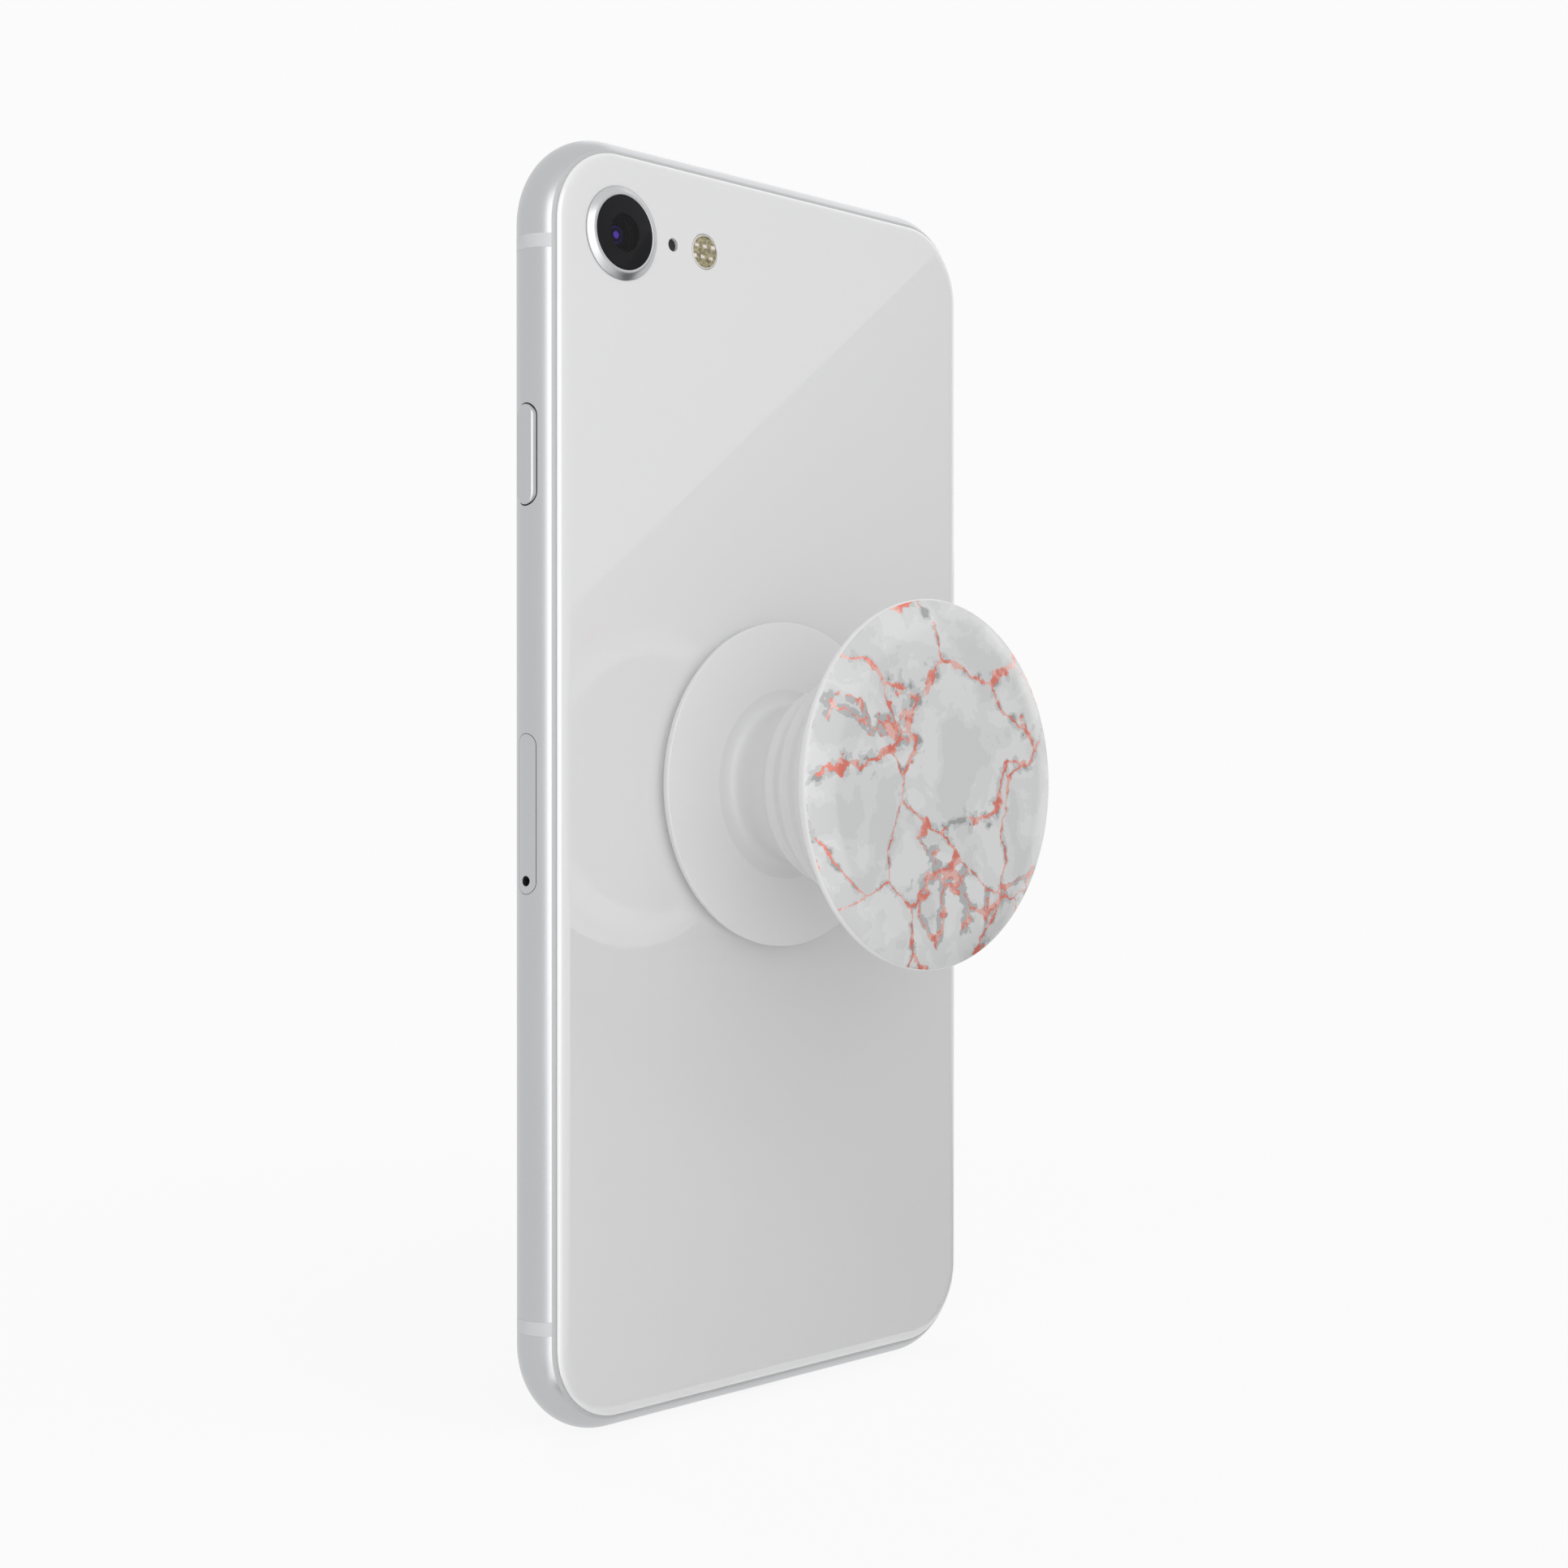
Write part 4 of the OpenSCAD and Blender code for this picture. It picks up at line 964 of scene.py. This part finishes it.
print("a quarter turn of radius 1:", [(round(u, 2), round(v, 2)) for u, v in arc((0, 0), 1, 0, 90, 2)])

# %% [markdown]
# ## Camera and flash
# The camera looks out through a black window in a bright ring. Only a small round opening in the black ink is
# clear, and the lens behind it shows as a violet spot, because its coating sends back blue and red. A coating has
# layers too thin to model, so the spot and its ring are painted and glow a little. The window is one disc whose
# Alpha falls inside the opening. The flash is a cloudy amber plate with fine rings that spread its light, and the
# lamps behind it show through as two rows of pale dots.
# A pale line round the flash plate's rim is a painted highlight of the glass edge round it.

# %% Window and lens finishes
OPENING_EDGE, GLINT_SPOT_EDGE, GLINT_RING_R = (1.9, 2.1), (0.26, 0.52), 0.85


def from_middle(board, middle):
    """Sideways, up and straight out from an axis along Y."""
    x, _, z = board.axes(board.place((middle[0], 0, middle[1])))
    return x, z, (x * x + z * z).root()


def dark_window(board):
    _, _, reach = from_middle(board, CAM)
    haze = board.grain(board.place(), 0.8, 2)
    return {
        "Base Color": board.tint(haze, (0.011, 0.011, 0.012), (0.016, 0.016, 0.018)),
        "Roughness": 0.05 + haze * 0.04,
        "Alpha": 1 - board.step(reach, *OPENING_EDGE, 0.42, 0),
    }


def coated_lens(board):
    _, _, reach = from_middle(board, CAM)
    # the spot and the ring round it are a painted reflection of the coating, and they also glow through Emission
    # Color
    spot = board.step(reach, *GLINT_SPOT_EDGE, 1, 0)
    ring = board.step((reach - GLINT_RING_R).size(), 0.08, 0.18, 0.35, 0)
    dark = board.tint(ring, (0.01, 0.01, 0.012), (0.24, 0.15, 0.62))
    return {
        "Base Color": board.tint(spot, dark, (0.60, 0.32, 1.0)),
        "Metallic": spot.most(ring),
        "Roughness": 0.06 + board.grain(board.place(), 3, 2) * 0.05,
        "Emission Color": board.tint(spot.most(ring * 0.4), (0, 0, 0), (0.10, 0.045, 0.55)),
    }


finishes["cover_glass"] = finish("camera_window_ink", dark_window, specular_ior_level=0.1)
finishes["lens_glass"] = finish("coated_lens", coated_lens, emission_strength=3.0)
print("the clear opening is", 2 * OPENING_EDGE[0], "mm wide")


# %% Ring and flash finishes
def turned_metal(board):
    spot = board.place()
    fine = board.grain(spot, 6, 2)
    return {
        "Base Color": board.tint(fine, (0.50, 0.505, 0.515), (0.60, 0.605, 0.615)),
        "Roughness": 0.26 + fine * 0.1,
        "Normal": board.bump(fine, 0.002),
    }


def amber_plate(board):
    x, z, reach = from_middle(board, FLASH)
    cells = board.node("ShaderNodeTexVoronoi", None, {"Vector": board.place(), "Scale": 3.4})
    speck = board.grain(board.place(), 2.6, 2)
    rows = board.step((z.size() - 0.6).size() + (speck - 0.5) * 0.4, 0.1, 0.24, 1, 0)
    dots = board.step((x * 5.2 + (z > 0) * 1.6).sine(), -0.3, 0.4)
    base = board.tint(board.step(speck, 0.35, 0.65), (0.17, 0.145, 0.07), (0.42, 0.37, 0.22))
    base = board.tint(board.step(cells, 0.1, 0.4, 0.4, 0), base, (0.56, 0.51, 0.36))
    base = board.tint(rows * dots, base, (0.88, 0.78, 0.75))
    return {
        # the outermost rim is painted pale: a painted highlight where the glass hole's edge catches light
        "Base Color": board.tint(board.step(reach, 1.72, 1.8), base, (0.74, 0.73, 0.70)),
        "Roughness": 0.2 + speck * 0.2,
    }


finishes.update({
    "bright_ring": finish("turned_metal", turned_metal, metallic=1.0),
    "flash_plastic": finish("flash_amber", amber_plate, coat_weight=0.4, coat_roughness=0.08),
    "black_plastic": speckled((0.018, 0.018, 0.019), 0.45, 0.12)("black_moulding"),
})
print("finishes:", len(finishes))

# %% Camera pieces
bezel = [(3.5, 2.8), (4.5, 2.8), (4.5, 3.65), (5, 3.65), (5, 3.8)]
bezel += [(4.3, 4.28), (3.95, 4.28), (3.95, 3.75), (3.5, 3.75)]
piece(soften(lathe("bezel", bezel, CAM), 0.1, 4, 30), "camera_bezel", "phone", "bright_ring", ["camera_ring"])
window = lathe("window", [(0, 3.75), (3.9, 3.75), (3.9, 4.25), (0, 4.25)], CAM)
piece(soften(window, 0.06, 3), "camera_window", "phone", "cover_glass", ["camera_cover_glass"])
tube = [(1.6, 0.6), (2.9, 0.6), (2.9, 3.0), (2.58, 3.0), (2.5, 2.9)]
tube += [(2.4, 2.9), (2.34, 2.78), (2.25, 2.78), (2.25, 2.1), (1.6, 2.1)]
piece(lathe("tube", tube, CAM), "camera_tube", "camera_focus", "black_plastic", ["camera_barrel"])
LENS_R, LENS_RISE, LENS_BACK, LENS_TOP = 2.2, 0.35, 2.1, 2.8
crown = (LENS_R**2 + LENS_RISE**2) / (2 * LENS_RISE)
swing = asin(LENS_R / crown) * 180 / pi
eye = [(0, LENS_BACK), (LENS_R, LENS_BACK)] + arc((0, LENS_TOP - crown), crown, 90 - swing, 90, 10)[:-1]
piece(lathe("eye", eye + [(0, LENS_TOP)], CAM), "camera_eye", "camera_focus", "lens_glass", ["camera_lens"])

# %% Flash plate
RING_COUNT, RING_PITCH, RING_RISE = 6, 0.26, 0.04
PLATE_TOP, GROOVE = 3.63, 3.58
plate = [(0, 2.8), (1.9, 2.8), (1.9, GROOVE), (1.84, PLATE_TOP)]
for i in range(RING_COUNT, 0, -1):
    plate += [(RING_PITCH * i + RING_RISE, PLATE_TOP), (RING_PITCH * i, GROOVE)]
plate += [(0, PLATE_TOP)]
piece(lathe("plate", plate, FLASH), "flash_plate", "phone", "flash_plastic", ["flash_lens"])

# %% [markdown]
# ## Keys, home key and screws
# Each key is a rounded bar with a bevelled face, and a wider flange that keeps it from falling out of the band.
# The home key doesn't travel: it is a slightly hollow disc in a metal ring. A bottom screw has a small star recess,
# cut by a wavy outline.

# %% Keys
PROUD, KEY_ROUND = 0.3, 0.38
FLANGE_IN, FLANGE_OUT = 30.05, 30.45
FLANGE_LONGER, FLANGE_WIDER = 0.9, 0.45


def key(name, body, node, side, z, length):
    """A key in the wall at side, with its flange behind the wall."""
    across = through_x(KEY_Y, z)
    head = prism("head", stadium(length, KEY_W, 18), across, side * FLANGE_OUT, side * (HALF_W + PROUD))
    collar = stadium(length + FLANGE_LONGER, KEY_W + FLANGE_WIDER)
    flange = prism("flange", collar, across, side * FLANGE_IN, side * FLANGE_OUT)
    return piece(merged(name, [soften(head, KEY_ROUND, 6), flange]), name, body, "aluminium_band", [node])


key("side_key", "side_button", "side_button", 1, *SIDE_KEY)
key("volume_key_up", "volume_up", "volume_up_button", -1, *VOLUME_UP)
key("volume_key_down", "volume_down", "volume_down_button", -1, *VOLUME_DOWN)

# %% Home key
black_sapphire = speckled((0.012, 0.012, 0.013), 0.1, 0.4, 0.2, 0, coat_weight=1.0, specular_ior_level=0.1)
finishes["sapphire"] = black_sapphire("home_sapphire")
dish = [(0, -2.75), (5.9, -2.75), (5.9, -3.05), (4.7, -3.05), (4.7, -3.52)]
dish += [(4.62, -3.55), (4.4, -3.55), (3.4, -3.52), (2, -3.49), (0, -3.48)]
piece(lathe("dish", dish, HOME), "home_key", "phone", "sapphire", ["home_button"])
hoop = lathe("hoop", [(4.75, -3.05), (5.4, -3.05), (5.4, -3.6), (4.75, -3.6)], HOME)
piece(soften(hoop, 0.08, 3), "home_key_ring", "phone", "bright_ring", ["home_button_ring"])

# %% Bottom screws
finishes["screw_steel"] = speckled((0.60, 0.60, 0.62), 0.25, 0.08, metallic=1.0)("screw_steel")
HEAD_FACE, STAR_DEEP, SHANK_R, SHANK_END = 0.25, 0.6, 0.45, 3
STAR_R, STAR_WAVE, STAR_TIPS = 0.4, 0.2, 5
head = prism("head", circle(SCREW_R), through_z(0), HEAD_FACE, SCREW_SEAT)
star = []
for i in range(60):
    angle = 2 * pi * i / 60
    reach = STAR_R * (1 + STAR_WAVE * cos(STAR_TIPS * angle))
    star.append((reach * cos(angle), reach * sin(angle)))
carve(head, prism("star", star, through_z(0), HOLE_CUT[0], STAR_DEEP))
shank = prism("shank", circle(SHANK_R, 24), through_z(0), SCREW_SEAT, SHANK_END)
screw = merged("screw", [soften(head, 0.05), shank])
piece(in_two_rows(screw, 1, (SCREW_X, 0, 0), (1, 0, 0)), "base_screws", "phone", "screw_steel", ["bottom_screws"])

# %% [markdown]
# ## Grip
# The grip is a round base stuck to the glass, a soft cone that folds like a bellows, and a hard top. The cone is a
# rule: its radius grows from foot to mouth, and three rounded ridges run round it where it folds. A grid in
# Geometry Nodes is bent into it, with the ridges as a sum of bell curves, so that every size is a named input.


# %% Bellows tree
RIDGE_COUNT, RIDGE_LAG, RIDGE_SPREAD, FLARE_FADE = 3, 0.07, 0.034, 5


def bellows_tree():
    sizes = ("Foot radius", "Mouth radius", "Start", "Length", "First ridge", "Ridge gap", "Ridge depth", "Flare")
    board, given = new_tree("bellows", [("Seed", "Geometry"), ("Around", "Int"), ("Along", "Int"),
                                        *[(label, "Float") for label in sizes], ("Material", "Material")])
    grid = board.node("GeometryNodeMeshGrid", None, {
        "Size X": 1.0, "Size Y": 1.0, "Vertices X": given.out("Around"), "Vertices Y": given.out("Along")})
    u, v, _ = board.axes(board.node("GeometryNodeInputPosition"))
    turn, rise = (u + 0.5) * (2 * pi), v + 0.5
    share = rise * rise
    foot, mouth = given.out("Foot radius"), given.out("Mouth radius")
    radius = foot + (mouth - foot) * share + given.out("Flare") * (rise * -FLARE_FADE).exponent()
    for number in range(RIDGE_COUNT):
        ridge = given.out("First ridge") + given.out("Ridge gap") * number
        for lag, sign in ((0, 1), (RIDGE_LAG, -1)):
            away = (share - ridge - lag) / RIDGE_SPREAD
            radius = radius + given.out("Ridge depth") * sign * (away * away * -1).exponent()
    spot = board.node("ShaderNodeCombineXYZ", None, {
        "X": radius * turn.cosine(), "Y": given.out("Start") + share * given.out("Length"),
        "Z": MID_Z - radius * turn.sine()})
    bent = board.node("GeometryNodeSetPosition", None, {"Geometry": grid, "Position": spot})
    joined = board.node("GeometryNodeMergeByDistance", None, {"Geometry": bent, "Distance": 0.001})
    return close_tree(board, joined, given)


print("ridges of the bellows:", RIDGE_COUNT)

# %% Bellows
BASE_TOP, PLATE_Y, TOP_Y, TOP_END = 5.6, 24.0, 26.6, 28.5
finishes["grip_soft"] = speckled((0.755, 0.755, 0.76), 0.5, 0.3, 0.012)("soft_grip")
finishes["grip_plastic"] = speckled((0.81, 0.81, 0.815), 0.34, 0.3, 0.01)("hard_grip")
seed = drawn("bellows", bmesh.new())
cone = grown(seed, bellows_tree(), around=161, along=181, foot_radius=7.3, mouth_radius=15.4, start=BASE_TOP,
             length=PLATE_Y - BASE_TOP, first_ridge=0.4, ridge_gap=0.205, ridge_depth=0.36, flare=3.4)
print("bellows:", len(cone.data.polygons), "faces")
change(cone, "SOLIDIFY", thickness=0.9, offset=-1)
piece(cone, "bellows", "phone", "grip_soft", ["grip_bellows"], smooth=60)

# %% Hard pieces of the grip
GRIP = (0, MID_Z)
BASE_ROLL, RIM_ROLL, TOP_ROLL, ROLL_TURN = 0.15, 0.55, 9.975, 66.2
base = [(0, 4.15), (17.5, 4.15), (18, 4.5), (18.25, 4.85), (18.35, 5.25)]
base += arc((18.2, BASE_TOP - BASE_ROLL), BASE_ROLL, 0, 90, 6) + [(0, BASE_TOP)]
piece(lathe("base", base, GRIP, 160), "grip_foot", "phone", "grip_plastic", ["grip_base"], smooth=30)
flare = [(15.9 + 2.8 * t * (1.3 - 0.3 * t), PLATE_Y + 1.9 * t * t) for t in (i / 8 for i in range(9))]
holder = lathe("holder", [(0, PLATE_Y)] + flare + [(19.1, TOP_Y), (0, TOP_Y)], GRIP, 160)
piece(holder, "grip_holder", "grip_top", "grip_plastic", ["grip_plate"], smooth=30)
disc = [(0, TOP_Y)] + arc((19.3, TOP_Y + RIM_ROLL), RIM_ROLL, -90, ROLL_TURN, 14)
disc += arc((15.5, TOP_END - TOP_ROLL), TOP_ROLL, ROLL_TURN, 90, 10)[1:] + [(0, TOP_END)]
disc = lathe("disc", disc, GRIP, 192)

# %% [markdown]
# ## Marble print
# The top of the grip carries a printed marble: pale grey stone in patches, with dark edges along its cracks and
# coral foil in some of them. Cracks are the borders of Voronoi cells. Straight borders would look like tiles, so
# the place is first pushed about by a noise, and another noise makes a vein swell, thin out or end.


# %% Marble finish
PRINT_R, COAT_R = 19.7, 18.9


def marble(board):
    def pushed(vector, per_mm, detail, reach):
        noise = board.grain(spot, per_mm, detail, 0.6).out("Color")
        feeds = {0: noise, 1: (reach,) * 3, 2: vector}
        return board.node("ShaderNodeVectorMath", {"operation": "MULTIPLY_ADD"}, feeds)

    def border(vector, cell_mm):
        feeds = {"Vector": vector, "Scale": 1 / cell_mm}
        return board.node("ShaderNodeTexVoronoi", {"feature": "DISTANCE_TO_EDGE"}, feeds) * cell_mm

    spot = board.place((-30, TOP_END, 20))
    bent = pushed(pushed(spot, 0.1, 1, 9), 0.8, 3, 1.3)
    wide, small = border(bent, 13.5), border(bent, 4.4)
    swell, gleam, cloud = board.grain(spot, 0.3, 2), board.grain(spot, 0.7, 3), board.grain(bent, 0.17, 4, 0.55)
    # small cracks show only where the stone is broken, and foil fills a vein as wide as it swells
    broken = board.step(board.grain(bent, 0.06, 2), 0.585, 0.595)
    width = 0.14 + board.step(swell, 0.56, 0.76) * 0.8
    foil = board.step(wide / width, 0.85, 1.05, 1, 0) * board.step(board.grain(spot, 0.13, 1), 0.36, 0.40)
    split = 0.1 + board.step(swell, 0.46, 0.66) * 0.6
    foil = foil.most(board.step(small / split, 0.85, 1.05, 1, 0) * broken * board.step(gleam, 0.40, 0.44))
    # three pale tones of stone, and darker ones along the cracks
    stone = board.tint(board.step(cloud, 0.45, 0.46), (0.665, 0.668, 0.672), (0.715, 0.718, 0.722))
    stone = board.tint(board.step(cloud, 0.535, 0.545), stone, (0.765, 0.768, 0.772))
    jag = (gleam - 0.5) * 3
    stone = board.tint(board.step(wide + jag, 0.30, 0.36, 1, 0) * 0.8, stone, (0.56, 0.565, 0.57))
    stone = board.tint(board.step(small + jag, 0.55, 0.6, 1, 0) * broken, stone, (0.47, 0.475, 0.48))
    stone = board.tint(board.step(wide + jag, -0.1, -0.05, 1, 0), stone, (0.36, 0.365, 0.37))
    coral = board.tint(board.step(gleam, 0.42, 0.6), (0.87, 0.24, 0.18), (0.93, 0.56, 0.50))
    # the rim past the print is plain pale plastic, and the pale band is partly a painted highlight along the edge
    _, _, reach = from_middle(board, GRIP)
    foil = foil * (reach < PRINT_R)
    stone = board.tint(reach > PRINT_R, stone, (0.85, 0.85, 0.85))
    return {
        "Base Color": board.tint(foil, stone, coral),
        "Metallic": foil * 0.25,
        "Roughness": 0.3 + gleam * 0.1 - foil * 0.08,
        "Coat Weight": board.step(reach, COAT_R, PRINT_R, 1, 0.1),
    }


finishes["grip_print"] = finish("marble_print", marble, coat_roughness=0.04)
piece(disc, "grip_disc", "grip_top", "grip_print", ["grip_rim", "grip_cap"], smooth=30)

# %% [markdown]
# ## Bellows and light of the grip
# The bellows can't follow the top. The back glass mirrors the underside of the top, which would stay in shade. More
# light on everything would burn out the glass, so a small lamp on the base is linked to the top alone. It rides on
# the
# top: folded, it lies inside the phone and is dark.

# %% Lamp under the top
LAMP_WIDE, LAMP_WATTS, LAMP_LIFT = 0.044, 0.0065, 0.2
spot = (0, (BASE_TOP + LAMP_LIFT) * MM, MID_Z * MM)
under = lamp("under_grip", spot, (0, 1, MID_Z * MM), LAMP_WIDE, LAMP_WIDE, LAMP_WATTS)
under.light_linking.receiver_collection = bpy.data.collections.new("underside")
for lit in (holder, disc):
    under.light_linking.receiver_collection.objects.link(lit)
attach(under, "grip_top")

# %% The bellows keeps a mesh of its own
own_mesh(cone)
print("the bellows folds towards y =", BASE_TOP, "mm")

# %% [markdown]
# ## Finishes inside
# Everything behind the shell keeps its solid. Plain mouldings and metals share the speckled finish with their own
# grain. A few have a pattern that belongs to how they are made: woven wire, copper windings and etched tracks.


# %% Patterned finishes
def woven(board):
    x, _, z = board.axes(board.place())
    weave = (x * 25).sine() * (z * 25).sine()
    return {
        "Base Color": board.tint(board.step(weave, -0.2, 0.6), (0.01, 0.01, 0.011), (0.07, 0.07, 0.075)),
        "Roughness": 0.4 + board.grain(board.place(), 2, 2) * 0.15,
        "Normal": board.bump(weave, 0.03),
    }


def windings(board):
    _, _, reach = from_middle(board, GRIP)
    thread = (reach * 12).sine()
    return {
        "Base Color": board.tint(board.step(thread, -0.9, 0.1), (0.22, 0.07, 0.03), (0.80, 0.36, 0.20)),
        "Roughness": 0.3 + board.grain(board.place(), 1, 2) * 0.1,
        "Normal": board.bump(thread, 0.04),
    }


def tracks(ground, line):
    def paint(board):
        spot = board.place()
        bent = board.grain(spot, 0.15, 1)
        x, _, z = board.axes(spot)
        lines = board.step(((x + z * 0.3 + bent * 14) * 5).sine(), 0.55, 0.75)
        return {
            "Base Color": board.tint(lines, ground, line),
            "Roughness": 0.45 - lines * 0.12,
            "Normal": board.bump(lines, 0.02),
        }

    return paint


finishes.update({
    "mesh": finish("woven_mesh", woven, metallic=0.4),
    "copper": finish("copper_windings", windings, metallic=0.9),
    "flex": finish("flex_film", tracks((0.05, 0.032, 0.018), (0.16, 0.09, 0.04))),
    "board_green": finish("board_mask", tracks((0.012, 0.05, 0.03), (0.03, 0.11, 0.06)), coat_weight=0.3),
})
print("patterned finishes ready")

# %% Plain finishes
for slot, base, rough, grain_mm, extra in (
    ("steel_plate", (0.56, 0.56, 0.57), 0.35, 0.15, {"metallic": 1.0}),
    ("display", (0.018, 0.018, 0.022), 0.2, 0.1, {}),
    ("steel_can", (0.60, 0.60, 0.60), 0.3, 0.2, {"metallic": 1.0}),
    ("led", (0.85, 0.72, 0.20), 0.5, 0.1, {}),
    ("card_plastic", (0.75, 0.75, 0.73), 0.4, 0.3, {}),
    ("contact_gold", (0.90, 0.65, 0.25), 0.25, 0.1, {"metallic": 1.0}),
    ("battery_pouch", (0.03, 0.03, 0.032), 0.4, 1.5, {}),
    ("tape", (0.62, 0.62, 0.61), 0.6, 0.4, {}),
    ("ferrite", (0.07, 0.07, 0.075), 0.6, 0.15, {}),
    ("heavy_metal", (0.35, 0.34, 0.33), 0.35, 0.15, {"metallic": 1.0}),
):
    finishes[slot] = speckled(base, rough, grain_mm, **extra)(slot + "_finish")
print("finishes:", len(finishes))

# %% Switch with a mark
MARK_EDGE = (-1.16, -1.12)


def marked_switch(board):
    """Metal, with an orange mark beside the knob that shows when it is pushed to the back."""
    _, y, _ = board.axes(board.place())
    fine = board.grain(board.place(), 8, 2)
    mark = board.step(y, *MARK_EDGE, 1, 0)
    return {
        "Base Color": board.tint(mark, BAND_GREY, (0.80, 0.13, 0.015)),
        "Metallic": 1 - mark,
        "Roughness": 0.28 + fine * 0.08,
    }


print("the mark starts at y =", MARK_EDGE[1], "mm")

# %% Dress the solids that stay
solids = {part["node"]: part["material_slot"] for part in frame["record"]["subparts"]}
for name, solid in parts.items():
    solid.data.materials.clear()
    solid.data.materials.append(finishes[solids[name]])
parts["ring_switch"].data.materials[0] = finish("marked_switch", marked_switch)
print("dressed:", len(parts))

# %% [markdown]
# ## Size
# Both the box of the solids and the box of the finished model are kept, and the box of the finished model is
# printed.

# %% Size of the finished model
box = [[list(corner) for corner in pair] for pair in (cad_box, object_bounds())]
print("size in mm:", [[round(v / MM, 2) for v in corner] for corner in box[1]])
